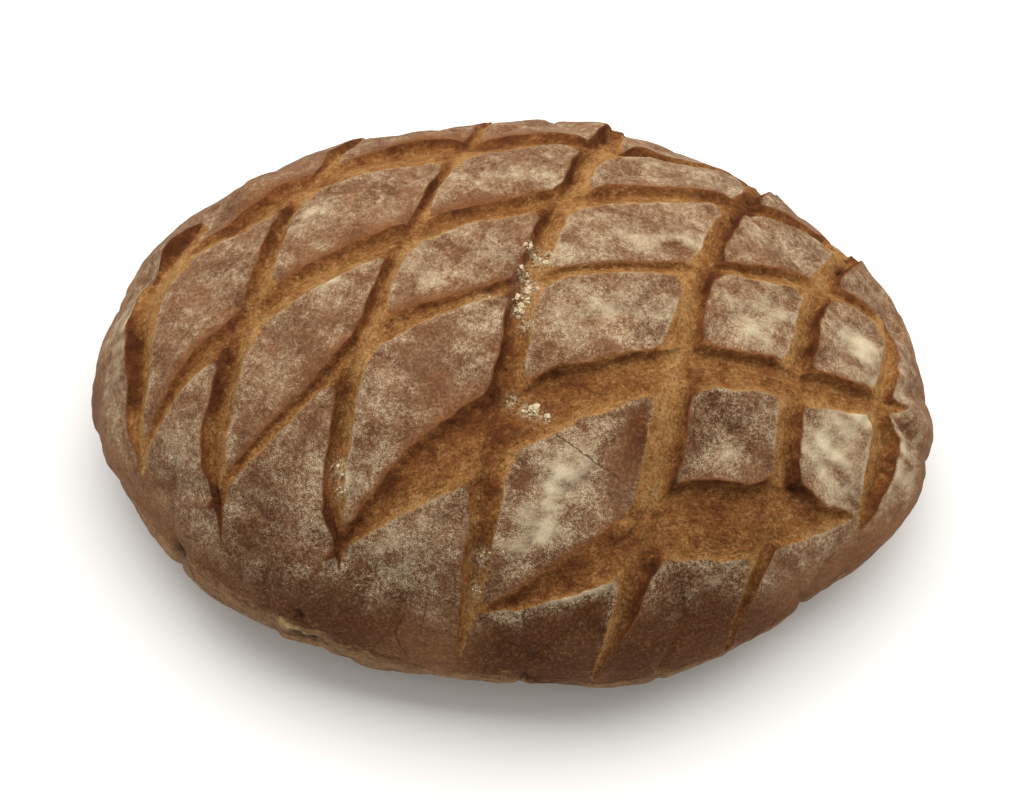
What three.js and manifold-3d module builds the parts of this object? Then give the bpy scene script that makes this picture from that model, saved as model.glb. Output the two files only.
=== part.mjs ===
// An oval sourdough loaf, baked on the hearth and scored with a lattice of cuts that opened in the oven.
//
// Units are millimetres and +Z is up. The flat base lies on Z = 0, the length runs along X, and the
// origin is the middle of the base. The loaf is one solid: a rounded dome over a widest girth, a side
// that draws in to the base, and on the dome the relief of the opened cuts.

import * as THREE from "three";
import { ConvexGeometry } from "three/addons/geometries/ConvexGeometry.js";
import { mergeVertices } from "three/addons/utils/BufferGeometryUtils.js";
import Module from "manifold-3d";

const { clamp, degToRad, lerp, smoothstep } = THREE.MathUtils;

// ---- Driving dimensions of the whole loaf ----

const LENGTH = 300;
const WIDTH = 220;
const HEIGHT = 103;
const GIRTH_HEIGHT = 27; // level of the widest girth above the base
const BASE_TUCK = 15; // how far the side draws in between the girth and the base
const DOME_POWER = 1.95; // roundness of the dome: 2 is an ellipse, more is boxier
const TUCK_POWER = 1.6; // curve of the side under the girth

// Hand shaping leaves the oval uneven. Each wave goes round the outline a number of times, and its two
// amounts are fractions of the radius.
const OUTLINE_WAVES = [
  { times: 1, cosine: 0.009, sine: 0.011 },
  { times: 3, cosine: -0.005, sine: -0.0025 },
  { times: 4, cosine: 0.003, sine: 0 },
  { times: 5, cosine: 0.0075, sine: 0.0015 },
  { times: 6, cosine: 0.006, sine: 0 },
  { times: 7, cosine: 0, sine: -0.005 },
];

// Two flatter stretches of the side, where the dough lay against its proving basket.
const FLATS = [
  { azimuth: degToRad(-29), spread: degToRad(12), depth: 0.014 },
  { azimuth: degToRad(-163), spread: degToRad(12), depth: 0.014 },
];

// Low lumps of the crust: one wave each, with its height and its wave vector in radians a millimetre.
const LUMPS = [
  { height: 0.7, wave: new THREE.Vector3(0.071, 0.033, 0.052), phase: 0.4 },
  { height: 0.6, wave: new THREE.Vector3(-0.046, 0.089, 0.061), phase: 2.1 },
  { height: 0.45, wave: new THREE.Vector3(0.118, -0.074, 0.093), phase: 4.0 },
  { height: 0.3, wave: new THREE.Vector3(0.162, 0.139, -0.121), phase: 5.2 },
];

// Corners of the crust that curled up beside the cuts, the rough lumps at the right end, and the wide swells
// and hollows of the side.
const SWELLS = [
  { place: new THREE.Vector3(-118, 38, 64), radius: 7, height: 0.8 },
  { place: new THREE.Vector3(28, 91, 69), radius: 8, height: 2.2 },
  { place: new THREE.Vector3(45, 82, 74), radius: 8, height: 1.4 },
  { place: new THREE.Vector3(121, 48, 57), radius: 7, height: 2.2 },
  { place: new THREE.Vector3(140, 16, 54), radius: 6, height: 2.6 },
  { place: new THREE.Vector3(140, 0, 55), radius: 5, height: 0.8 },
  { place: new THREE.Vector3(137, -20, 57), radius: 6, height: 2.4 },
  { place: new THREE.Vector3(139, -30, 50), radius: 8, height: 2.2 },
  { place: new THREE.Vector3(79, -52, 79), radius: 10, height: 1.3 },
  { place: new THREE.Vector3(12, -17, 101), radius: 6, height: 1.4 },
  { place: new THREE.Vector3(136, 25, 54), radius: 8, height: -4 },
  { place: new THREE.Vector3(-96, 60, 67), radius: 12, height: 3.4 },
  { place: new THREE.Vector3(-110, 47, 66), radius: 9, height: -3.4 },
  { place: new THREE.Vector3(-129, 27, 58), radius: 8, height: -1.6 },
  { place: new THREE.Vector3(-40, 81, 73), radius: 13, height: 2.4 },
  { place: new THREE.Vector3(-141, -33, 41), radius: 13, height: 1.6 },
  { place: new THREE.Vector3(-36, -105, 28), radius: 14, height: -1.8 },
  { place: new THREE.Vector3(66, 79, 69), radius: 16, height: 1.6 },
  { place: new THREE.Vector3(92, -85, 30), radius: 18, height: 2 },
  { place: new THREE.Vector3(137, -46, 32), radius: 13, height: 2.2 },
  { place: new THREE.Vector3(46, -106, 30), radius: 10, height: -1.8 },
];

const CRUST_COLOUR = 0x7d5232;
const CRUST_ROUGHNESS = 0.85;

// ---- The cuts ----

// The long cuts rolled open towards the back, and the cross cuts lifted one edge as a thin flap. The wall is
// the width of the steep side under the lip, and the lip is the edge over it.
const ROLLED = { depth: 3.5, wall: 4, lipRise: -1, lowDrop: 0.15 };
const FLAP = { depth: 4, wall: 2.4, lipRise: 0.9, lowDrop: 0.4 };

// Each cut is a spline through [x, y, opened width], laid on the dome. The long cuts run from left to
// right and the cross cuts from the back to the front.
const LONG_PATHS = [
  [[-125, 22, 6], [-98, 37, 12], [-60, 61, 20], [-10, 74, 16], [30, 78, 8], [92, 80, 3]],
  [[-125, -46, 3], [-98, -14, 9], [-62, 10, 12], [-22, 30, 9], [20, 44, 10], [70, 57, 8], [112, 57, 8]],
  [
    [-97, -68, 2], [-66, -39, 5], [-40, -16, 8], [-5, 0, 6],
    [37, 13, 4], [77, 22, 6], [110, 25, 7], [127, 21, 6], [134, 16, 3],
  ],
  [
    [-58, -88, 2], [-38, -73, 11], [-7, -52, 22], [26, -34, 19],
    [67, -19, 16], [110, -17, 12], [127, -14, 10], [137, -12, 3],
  ],
  [
    [-6, -98, 1], [7, -95, 5], [24, -89, 11], [44, -79, 18],
    [64, -68, 27], [81, -64, 26], [98, -58, 21], [110, -55, 11], [121, -51, 2],
  ],
];
const LEFT_LIP_PATHS = [
  [
    [-115, 46, 8], [-118, 34, 13], [-121, 22, 15], [-125, 10, 15], [-126, 0, 14],
    [-126, -12, 12], [-126, -22, 10], [-126, -32, 7], [-125, -41, 4], [-124, -50, 1],
  ],
  [[-60, 90, 6], [-71, 60, 6], [-81, 25, 7], [-90, -18, 8], [-95, -50, 9], [-91, -76, 2]],
  [[-12, 97, 4], [-30, 40, 4], [-42, 0, 6], [-51, -45, 8], [-54, -68, 8], [-49, -94, 2]],
  [[36, 98, 8], [15, 36, 9], [5, -10, 10], [-1, -60, 11], [-5, -90, 8], [-9, -106, 2]],
];
const RIGHT_LIP_PATHS = [
  [[92, 86, 8], [71, 34, 8], [60, -10, 11], [55, -50, 13], [47, -90, 9], [36, -108, 2]],
  [[121, 55, 9], [106, 18, 9], [98, -25, 8], [95, -56, 8], [80, -96, 2]],
  [
    [132, 24, 4], [133, 12, 6], [132, 2, 7], [131, -7, 7], [130, -14, 5], [130, -20, 7],
    [131, -26, 12], [130, -33, 12], [128, -41, 9], [126, -48, 5], [123, -54, 1],
  ],
];

// The lip's sign is 1 where it is to the left hand of the path, and -1 where it is to the right.
const CUTS = [
  ...LONG_PATHS.map((path) => ({ path, lip: 1, profile: ROLLED })),
  ...LEFT_LIP_PATHS.map((path) => ({ path, lip: -1, profile: FLAP })),
  ...RIGHT_LIP_PATHS.map((path) => ({ path, lip: 1, profile: FLAP })),
];

const LEAST_WIDTH = 0.5;
const DEPTH_REACH = 2.5; // half width at which a cut has most of its depth
const CUT_END = 3; // half width under which the cut fades out
const FULL_EDGES = 4; // half width from which its edges have their whole height
const LIP_REACH = 6.5; // how far back from the lip the crust's rise or fall fades
const LOW_REACH = 4; // and from the low edge
const LOW_SLOPE = 2; // width of the slope at the low edge
const LOW_SLOPE_SHARE = 0.45; // most that this slope and the wall take of the half width
const WALL_SHARE = 0.7;
const LOW_FLOOR = 0.5; // depth beside the low edge, as a share of the depth at the wall

// Stations across an opened cut, from -1 at the low edge to 1 at the lip.
const FLOOR_START = -0.7; // between these two the floor goes down to its whole depth
const FLOOR_END = 0.6;
const NARROW_FOOT = 0.25; // deepest station that is modelled where the cut is narrow

// ---- Facets ----

// The facets' corners are placed as directions of a unit sphere, whose convex hull joins them.
const GIRTH_POLAR = degToRad(112); // polar angles of the sphere that become the girth and the base
const BASE_POLAR = degToRad(130);
const UNDERSIDE_DROP = 8; // the sphere's lower pole goes this far under the base, which is then cut flat
const CUT_STEPS = 180; // straight steps that stand for a cut's curve
const ROW_SPACING = 4; // between the rows of corners along a cut
const STEP_ROUNDS = 4; // corrections of a corner's offset from its cut
const NARROW = 3.3; // half widths under which a cut has fewer corners in a row, or none
const HAIRLINE = 1.5;
const CORNER_GAP = 1.3; // least distance between corners of one cut
const CROSSING_GAP = 2.2; // and between corners of two cuts
const FILL_SPACING = 4.6; // least distance between the corners on the crust between the cuts
const FILL_TRIES = 30000;
const BASE_CORNERS = 110;

// ---- Form of the loaf ----

function outlineRadius(azimuth) {
  const oval = 1 / Math.hypot(Math.cos(azimuth) / (LENGTH / 2), Math.sin(azimuth) / (WIDTH / 2));
  let factor = 1;
  for (const { times, cosine, sine } of OUTLINE_WAVES)
    factor += cosine * Math.cos(times * azimuth) + sine * Math.sin(times * azimuth);
  for (const { azimuth: middle, spread, depth } of FLATS)
    factor -= depth * Math.exp(-(((azimuth - middle) / spread) ** 2));
  return oval * factor;
}

function domeHeight(x, y) {
  const share = clamp(Math.hypot(x, y) / outlineRadius(Math.atan2(y, x)), 0, 1);
  return GIRTH_HEIGHT + (HEIGHT - GIRTH_HEIGHT) * (1 - share ** DOME_POWER) ** (1 / DOME_POWER);
}

// The point of the smooth loaf for a direction of the unit sphere.
function loafPoint(direction) {
  const azimuth = Math.atan2(direction.y, direction.x);
  const polar = Math.acos(clamp(direction.z, -1, 1));
  const girth = outlineRadius(azimuth);
  let radius;
  let height;
  if (polar <= GIRTH_POLAR) {
    const turn = (polar / GIRTH_POLAR) * (Math.PI / 2);
    radius = girth * Math.sin(turn) ** (2 / DOME_POWER);
    height = GIRTH_HEIGHT + (HEIGHT - GIRTH_HEIGHT) * Math.max(0, Math.cos(turn)) ** (2 / DOME_POWER);
  } else if (polar <= BASE_POLAR) {
    const share = (polar - GIRTH_POLAR) / (BASE_POLAR - GIRTH_POLAR);
    radius = girth - BASE_TUCK * share ** TUCK_POWER;
    height = GIRTH_HEIGHT * (1 - share);
  } else {
    const share = (polar - BASE_POLAR) / (Math.PI - BASE_POLAR);
    radius = (girth - BASE_TUCK) * (1 - share);
    height = -UNDERSIDE_DROP * Math.sin((share * Math.PI) / 2);
  }
  return new THREE.Vector3(radius * Math.cos(azimuth), radius * Math.sin(azimuth), height);
}

function domeNormal(point) {
  const girth = outlineRadius(Math.atan2(point.y, point.x));
  const rise = HEIGHT - GIRTH_HEIGHT;
  const { x, y, z } = point;
  return new THREE.Vector3(x / girth ** 2, y / girth ** 2, (z - GIRTH_HEIGHT) / rise ** 2).normalize();
}

// ---- Relief of the cuts ----

// A cut as stations along its middle line: place, direction across it and half width.
function laidCut({ path, ...cut }) {
  const spline = new THREE.CatmullRomCurve3(path.map((p) => new THREE.Vector3(...p)), false, "catmullrom");
  const stations = [];
  for (let i = 0; i <= CUT_STEPS; i++) {
    const { x, y, z: width } = spline.getPointAt(i / CUT_STEPS);
    const ahead = spline.getTangentAt(i / CUT_STEPS);
    const place = new THREE.Vector3(x, y, domeHeight(x, y));
    const across = new THREE.Vector3(-ahead.y, ahead.x, 0).normalize();
    const normal = domeNormal(place);
    across.addScaledVector(normal, -across.dot(normal)).normalize();
    stations.push({ place, across, halfWidth: Math.max(width, LEAST_WIDTH) / 2 });
  }
  return { ...cut, stations };
}

// Where a point lies from a cut: how far off its middle line, and the half width of the cut there.
function offsetFrom(cut, point) {
  let nearest = { gap: Infinity };
  const stretch = new THREE.Line3();
  const foot = new THREE.Vector3();
  for (let i = 0; i < cut.stations.length - 1; i++) {
    const [start, end] = [cut.stations[i], cut.stations[i + 1]];
    stretch.set(start.place, end.place);
    const share = stretch.closestPointToPointParameter(point, true);
    const gap = stretch.at(share, foot).distanceTo(point);
    if (gap >= nearest.gap) continue;
    const side = Math.sign(foot.sub(point).dot(start.across)) || 1;
    nearest = { gap, offset: -side * gap, halfWidth: lerp(start.halfWidth, end.halfWidth, share) };
  }
  return nearest;
}

// Where the slope at the low edge and the wall under the lip end, as stations across a cut.
function slopeEnd(halfWidth) {
  return Math.min(LOW_SLOPE / halfWidth, LOW_SLOPE_SHARE) - 1;
}

function wallFoot({ wall }, halfWidth) {
  return 1 - Math.min(wall / halfWidth, WALL_SHARE);
}

// Height of the crust beside and inside one cut, below or above the smooth loaf. The cut fades to nothing
// at its ends.
function cutRelief({ lip, profile }, { offset, halfWidth }) {
  const station = (offset * lip) / halfWidth;
  const strength = clamp(halfWidth / FULL_EDGES, 0, 1);
  const lipRise = profile.lipRise * strength;
  const lowDrop = profile.lowDrop * strength;
  if (station <= -1) return -lowDrop * Math.exp(((station + 1) * halfWidth) / LOW_REACH);
  if (station >= 1) return lipRise * Math.exp((-(station - 1) * halfWidth) / LIP_REACH);
  const slope = smoothstep(station, -1, slopeEnd(halfWidth));
  const floor = LOW_FLOOR + (1 - LOW_FLOOR) * smoothstep(station, FLOOR_START, FLOOR_END);
  const wall = 1 - smoothstep(station, wallFoot(profile, halfWidth), 1);
  const fade = smoothstep(halfWidth, 0, CUT_END) * (1 - Math.exp(-halfWidth / DEPTH_REACH));
  return lipRise * (1 - wall) - lowDrop * (1 - slope) - profile.depth * fade * slope * floor * wall;
}

function total(amounts) {
  return amounts.reduce((sum, amount) => sum + amount, 0);
}

// Inside a cut the deepest one counts, and between the cuts their edges and the swells add up.
function crustRelief(cuts, point) {
  const offsets = cuts.map((cut) => offsetFrom(cut, point));
  const reliefs = offsets.map((offset, i) => cutRelief(cuts[i], offset));
  const inside = offsets.map(({ gap, halfWidth }) => gap < halfWidth);
  const lumps = total(LUMPS.map(({ height, wave, phase }) => height * Math.sin(wave.dot(point) + phase)));
  if (inside.some(Boolean)) return lumps + Math.min(...reliefs.filter((_, i) => inside[i]));
  const swells = SWELLS.map((swell) => {
    const away = swell.place.distanceTo(point) / swell.radius;
    return swell.height * Math.exp(-(away ** 2));
  });
  return lumps + total(reliefs) + total(swells);
}

// ---- Corners of the facets ----

// The unit sphere's direction for a point of the dome, which loafPoint takes back to that point.
function domeDirection(point) {
  const azimuth = Math.atan2(point.y, point.x);
  const share = clamp(Math.hypot(point.x, point.y) / outlineRadius(azimuth), 0, 1);
  const polar = (Math.asin(share ** (DOME_POWER / 2)) / (Math.PI / 2)) * GIRTH_POLAR;
  const radius = Math.sin(polar);
  return new THREE.Vector3(radius * Math.cos(azimuth), radius * Math.sin(azimuth), Math.cos(polar));
}

// Where a row has its corners: at the low edge, the end of the low slope, the foot of the wall and the lip,
// and at fewer places where the cut is narrow.
function rowStations(profile, halfWidth) {
  if (halfWidth < HAIRLINE) return [];
  if (halfWidth < NARROW) return [-1, NARROW_FOOT, 1];
  return [-1, slopeEnd(halfWidth), wallFoot(profile, halfWidth), 1];
}

// Rows of corners across a cut. A row is square to the cut on the unit sphere, so that the hull's edges run
// along the cut, and its steps are lengthened until its corners have their true offsets on the loaf.
function cutDirections(cut) {
  const { lip, profile, stations } = cut;
  const directions = [];
  let walked = 0;
  for (let i = 1; i < CUT_STEPS; i++) {
    const [before, { place, halfWidth }, after] = stations.slice(i - 1, i + 2);
    walked += place.distanceTo(before.place);
    if (walked < ROW_SPACING) continue;
    walked = 0;
    const middle = domeDirection(place);
    const along = domeDirection(after.place).sub(domeDirection(before.place));
    const square = new THREE.Vector3().crossVectors(middle, along).normalize();
    for (const station of rowStations(profile, halfWidth)) {
      const wanted = station * lip * halfWidth;
      let step = wanted / LENGTH;
      const direction = middle.clone();
      for (let round = 0; round < STEP_ROUNDS; round++) {
        direction.copy(middle).addScaledVector(square, step).normalize();
        step *= wanted / offsetFrom(cut, loafPoint(direction)).offset;
      }
      directions.push(direction);
    }
  }
  return directions;
}

function rimDirections() {
  return Array.from({ length: BASE_CORNERS }, (_, i) => {
    const azimuth = (2 * Math.PI * i) / BASE_CORNERS;
    return new THREE.Vector3(Math.cos(azimuth), Math.sin(azimuth), 1 / Math.tan(BASE_POLAR)).normalize();
  });
}

// Directions evenly spread over the sphere above the base, along a golden spiral.
function spiralDirections(tries) {
  const goldenAngle = Math.PI * (3 - Math.sqrt(5));
  const lowest = Math.cos(BASE_POLAR);
  return Array.from({ length: tries }, (_, i) => {
    const z = 1 - ((i + 0.5) / tries) * (1 - lowest);
    const radius = Math.sqrt(1 - z * z);
    return new THREE.Vector3(radius * Math.cos(i * goldenAngle), radius * Math.sin(i * goldenAngle), z);
  });
}

function facetDirections(cuts) {
  const kept = [];
  const keep = (directions, ownGap, otherGap) => {
    const others = kept.length;
    for (const direction of directions) {
      const point = loafPoint(direction);
      const clear = (other, i) => other.point.distanceTo(point) >= (i < others ? otherGap : ownGap);
      if (kept.every(clear)) kept.push({ direction, point });
    }
  };
  keep(rimDirections(), CORNER_GAP, CORNER_GAP);
  for (const cut of cuts) keep(cutDirections(cut), CORNER_GAP, CROSSING_GAP);
  keep(spiralDirections(FILL_TRIES), FILL_SPACING, FILL_SPACING);
  const pole = new THREE.Vector3(0, 0, -1);
  return [...kept.map(({ direction }) => direction), pole];
}

// ---- The solid ----

function loafGeometry(cuts) {
  const sphere = new ConvexGeometry(facetDirections(cuts));
  sphere.deleteAttribute("normal");
  const geometry = mergeVertices(sphere);
  const position = geometry.getAttribute("position");
  const point = new THREE.Vector3();
  for (let i = 0; i < position.count; i++)
    position.setXYZ(i, ...loafPoint(point.fromBufferAttribute(position, i)));
  geometry.computeVertexNormals();
  const normals = geometry.getAttribute("normal");
  const normal = new THREE.Vector3();
  for (let i = 0; i < position.count; i++) {
    point.fromBufferAttribute(position, i);
    if (point.z <= 0) continue;
    normal.fromBufferAttribute(normals, i);
    point.addScaledVector(normal, crustRelief(cuts, point));
    position.setXYZ(i, ...point);
  }
  geometry.deleteAttribute("normal");
  return geometry;
}

const wasm = await Module();
wasm.setup();

function solidFrom(geometry) {
  const merged = mergeVertices(geometry);
  return new wasm.Manifold(
    new wasm.Mesh({
      numProp: 3,
      vertProperties: new Float32Array(merged.getAttribute("position").array),
      triVerts: new Uint32Array(merged.index.array),
    }),
  );
}

// The flat base is cut by taking away everything under Z = 0.
function withFlatBase(geometry) {
  const below = new THREE.BoxGeometry(2 * LENGTH, 2 * WIDTH, HEIGHT).translate(0, 0, -HEIGHT / 2);
  below.deleteAttribute("normal");
  below.deleteAttribute("uv");
  const mesh = solidFrom(geometry).subtract(solidFrom(below)).getMesh();
  return new THREE.BufferGeometry()
    .setAttribute("position", new THREE.BufferAttribute(mesh.vertProperties, mesh.numProp))
    .setIndex(new THREE.BufferAttribute(mesh.triVerts, 1));
}

// Puts the middle of the base's bounding box at the origin.
function centred(geometry) {
  geometry.computeBoundingBox();
  const { min, max } = geometry.boundingBox;
  return geometry.translate(-(min.x + max.x) / 2, -(min.y + max.y) / 2, -min.z);
}

function makeLoaf() {
  const geometry = centred(withFlatBase(loafGeometry(CUTS.map(laidCut))));
  geometry.computeVertexNormals();
  const crust = new THREE.MeshStandardMaterial({ color: CRUST_COLOUR, roughness: CRUST_ROUGHNESS });
  const loaf = new THREE.Mesh(geometry, crust);
  loaf.name = "loaf";
  return loaf;
}

const part = new THREE.Group();
part.add(makeLoaf());
export default part;
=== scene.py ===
"""An oval sourdough loaf, scored with a lattice of cuts that opened in the oven and dusted with flour.

The crust is worked out in millimetres, in the same way as its solid: a smooth dome over a side that draws in
to the flat base, with the relief of the opened cuts on the dome. It then gets what the solid leaves out:
ragged edges, overhanging lips, rough torn crumb in the cuts, cracks, flour and loose lumps of flour.
"""

from __future__ import annotations

import itertools
import logging
import math
from dataclasses import dataclass, field, replace
from enum import Enum
from typing import Callable, ClassVar, Iterable

import bmesh
import bpy
import numpy as np
from mathutils import Matrix, Vector


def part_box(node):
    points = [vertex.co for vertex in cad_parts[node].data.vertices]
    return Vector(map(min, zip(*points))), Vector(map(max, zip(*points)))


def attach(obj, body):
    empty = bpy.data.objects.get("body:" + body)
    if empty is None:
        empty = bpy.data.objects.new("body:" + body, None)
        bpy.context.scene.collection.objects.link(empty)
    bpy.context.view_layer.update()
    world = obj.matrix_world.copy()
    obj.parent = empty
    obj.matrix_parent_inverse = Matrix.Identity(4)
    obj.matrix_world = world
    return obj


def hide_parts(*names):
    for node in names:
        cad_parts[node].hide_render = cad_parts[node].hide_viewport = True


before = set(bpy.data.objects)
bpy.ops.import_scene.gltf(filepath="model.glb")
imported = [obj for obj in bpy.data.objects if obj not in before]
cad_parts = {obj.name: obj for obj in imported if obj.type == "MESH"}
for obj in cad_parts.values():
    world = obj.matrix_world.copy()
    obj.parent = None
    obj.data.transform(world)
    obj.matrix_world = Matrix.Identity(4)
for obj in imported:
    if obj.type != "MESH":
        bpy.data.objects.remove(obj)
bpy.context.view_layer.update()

MM = 0.001
SHORTEST = 1e-9  # a vector shorter than this is taken to be this long
LOG = logging.getLogger("loaf")

Triple = tuple[float, float, float]
Path = tuple[Triple, ...]


def smooth(value: np.ndarray, low: float, high: float) -> np.ndarray:
    """Return a smooth step that goes from 0 at low to 1 at high."""
    share = np.clip((value - low) / (high - low), 0, 1)
    return share * share * (3 - 2 * share)


def unit(vectors: np.ndarray) -> np.ndarray:
    """Return the vectors, one a row, at length 1."""
    return vectors / np.maximum(np.linalg.norm(vectors, axis=1, keepdims=True), SHORTEST)


def bell(share: np.ndarray) -> np.ndarray:
    """Return 1 at zero, and less the farther from it either way."""
    return np.exp(-(share**2))


def fading(distance: np.ndarray, reach: float) -> np.ndarray:
    """Return 1 at a distance of zero or below, and less the farther away."""
    return np.exp(-np.maximum(distance, 0) / reach)


def total(items: Iterable[Lump | Swell | Patch | Clump], points: np.ndarray) -> np.ndarray:
    """Return what the items together give at each point."""
    return sum(item.at(points) for item in items)


class Grain:
    """A smooth random field in space that repeats after many cells, with values of about -1 to 1."""

    CELLS = 32
    STRETCH = 1.7  # brings the field's usual extremes to about -1 and 1

    def __init__(self, seed: int) -> None:
        """Draw the field's slopes.

        Args:
            seed: Seed of the random draw.
        """
        draw = np.random.default_rng(seed)
        self.slopes = unit(draw.normal(size=(self.CELLS**3, 3))).reshape((self.CELLS,) * 3 + (3,))

    def at(self, points: np.ndarray, size: float | Triple) -> np.ndarray:
        """Return the field's value at each point.

        Args:
            points: Places in millimetres, one a row.
            size: Size of one lump, the same all ways or along X, Y and Z.

        Returns:
            One number for each point.
        """
        cells = points / np.asarray(size)
        corner = np.floor(cells).astype(int)
        inner = cells - corner
        ease = inner**3 * (inner * (inner * 6 - 15) + 10)  # from 0 to 1, and level at both ends
        total = np.zeros(len(points))
        for step in itertools.product((0, 1), repeat=3):
            weight = np.prod(np.where(step, ease, 1 - ease), axis=1)
            x, y, z = ((corner + step) % self.CELLS).T
            total += weight * (self.slopes[x, y, z] * (inner - step)).sum(axis=1)
        return total * self.STRETCH


# ---- Form of the loaf ----


@dataclass(frozen=True)
class OutlineWave:
    """An unevenness of the outline that goes round a number of times, in shares of the radius."""

    times: int
    cosine: float
    sine: float


@dataclass(frozen=True)
class Flat:
    """A flatter stretch of the side."""

    azimuth: float  # of its middle, in degrees
    spread: float  # in degrees
    depth: float  # as a share of the radius


@dataclass(frozen=True)
class Lump:
    """A low swell that comes back in waves all over the crust."""

    height: float
    wave: Triple  # in radians a millimetre
    phase: float

    def at(self, points: np.ndarray) -> np.ndarray:
        """Return the rise at each point."""
        return self.height * np.sin(points @ np.array(self.wave) + self.phase)


@dataclass(frozen=True)
class Swell:
    """A round rise of the crust about a place, or a dent where its height is below zero, in millimetres."""

    x: float
    y: float
    z: float
    radius: float
    height: float

    def at(self, points: np.ndarray) -> np.ndarray:
        """Return the rise at each point."""
        squares = ((points - (self.x, self.y, self.z)) ** 2).sum(axis=1)
        return self.height * np.exp(-squares / self.radius**2)


@dataclass(frozen=True)
class LoafForm:
    """The smooth loaf under its relief, in millimetres."""

    MERIDIAN_STEPS: ClassVar[int] = 801

    length: float = 300
    width: float = 220
    height: float = 103
    girth_height: float = 27
    base_tuck: float = 15
    dome_power: float = 1.95
    tuck_power: float = 1.6
    rim_rise: float = 0.8  # the side ends this far above the base, which is rounded off below it
    waves: tuple[OutlineWave, ...] = (
        OutlineWave(1, 0.009, 0.011),
        OutlineWave(3, -0.005, -0.0025),
        OutlineWave(4, 0.003, 0),
        OutlineWave(5, 0.0075, 0.0015),
        OutlineWave(6, 0.006, 0),
        OutlineWave(7, 0, -0.005),
    )
    flats: tuple[Flat, ...] = (Flat(-29, 12, 0.014), Flat(-163, 12, 0.014))
    lumps: tuple[Lump, ...] = (
        Lump(0.7, (0.071, 0.033, 0.052), 0.4),
        Lump(0.6, (-0.046, 0.089, 0.061), 2.1),
        Lump(0.45, (0.118, -0.074, 0.093), 4.0),
        Lump(0.3, (0.162, 0.139, -0.121), 5.2),
    )

    def outline_radius(self, azimuth: np.ndarray) -> np.ndarray:
        """Return the girth's radius.

        Args:
            azimuth: Directions from the middle of the loaf, in radians.

        Returns:
            The radius in each direction.
        """
        oval = 1 / np.hypot(np.cos(azimuth) / (self.length / 2), np.sin(azimuth) / (self.width / 2))
        factor = 1.0
        for wave in self.waves:
            factor += wave.cosine * np.cos(wave.times * azimuth) + wave.sine * np.sin(wave.times * azimuth)
        for flat in self.flats:
            factor -= flat.depth * bell((np.degrees(azimuth) - flat.azimuth) / flat.spread)
        return oval * factor

    def dome_height(self, x: np.ndarray, y: np.ndarray) -> np.ndarray:
        """Return the dome's height.

        Args:
            x: Places of the plan along the loaf.
            y: Places of the plan across it.

        Returns:
            The height over each place.
        """
        share = np.clip(np.hypot(x, y) / self.outline_radius(np.arctan2(y, x)), 0, 1)
        rise = (1 - share**self.dome_power) ** (1 / self.dome_power)
        return self.girth_height + (self.height - self.girth_height) * rise

    def dome_normal(self, points: np.ndarray) -> np.ndarray:
        """Return the dome's outward direction.

        Args:
            points: Places on the dome, one a row.

        Returns:
            The direction at each place, one a row.
        """
        x, y, z = points.T
        girth = self.outline_radius(np.arctan2(y, x))
        rise = (self.height - self.girth_height) ** 2
        return unit(np.stack([x / girth**2, y / girth**2, (z - self.girth_height) / rise], 1))

    def meridian(self, travel: np.ndarray) -> tuple[np.ndarray, np.ndarray, np.ndarray]:
        """Follow the loaf's side view from the top down.

        Args:
            travel: 0 at the top, 1 at the girth and 2 at the base.

        Returns:
            The share of the girth's radius, what the tuck takes off it and the height.
        """
        turn = np.clip(travel, 0, 1) * np.pi / 2
        tucked = np.clip(travel - 1, 0, 1)
        power = 2 / self.dome_power
        dome = (self.height - self.girth_height) * np.clip(np.cos(turn), 0, 1) ** power
        side = (self.girth_height - self.rim_rise) * tucked
        tuck = self.base_tuck * tucked**self.tuck_power
        return np.sin(turn) ** power, tuck, self.girth_height + dome - side

    def travel_at(self, reach: np.ndarray) -> np.ndarray:
        """Return where the circles of a round sheet lie, so that its faces come out alike in size.

        Args:
            reach: The circle's radius as a share of the sheet's.

        Returns:
            The travel down the meridian.
        """
        travel = np.linspace(0, 2, self.MERIDIAN_STEPS)
        share, tuck, height = self.meridian(travel)
        radius = share * math.sqrt(self.length * self.width) / 2 - tuck
        ring = np.hypot(np.diff(radius), np.diff(height)) * (radius[1:] + radius[:-1])
        covered = np.concatenate([[0], np.cumsum(ring)])
        return np.interp(reach**2, covered / covered[-1], travel)

    def drape(self, sheet: np.ndarray) -> np.ndarray:
        """Lay a flat square sheet over the loaf.

        Args:
            sheet: Places on the sheet, from -1 to 1 both ways.

        Returns:
            The place on the smooth loaf of each, in millimetres.
        """
        x, y = sheet.T
        wide = np.abs(x) >= np.abs(y)
        reach = np.where(wide, x, y)
        ratio = np.where(wide, y, x) / np.where(reach == 0, 1, reach)
        turn = np.where(wide, ratio, 2 - ratio) * np.pi / 4 + np.where(reach < 0, np.pi, 0)
        azimuth = np.arctan2(self.width * np.sin(turn), self.length * np.cos(turn))
        share, tuck, height = self.meridian(self.travel_at(np.abs(reach)))
        radius = self.outline_radius(azimuth) * share - tuck
        return np.stack([radius * np.cos(azimuth), radius * np.sin(azimuth), height], 1)


# ---- The opened cuts ----


class Lip(Enum):
    """The edge of a cut that lifted in the oven, with its sign across the cut."""

    BACK = ("back", 1)
    LEFT = ("left", -1)
    RIGHT = ("right", 1)

    @property
    def sign(self) -> int:
        """1 where the lip is to the left hand of the cut's direction, and -1 where it is to the right."""
        return self.value[1]


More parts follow.
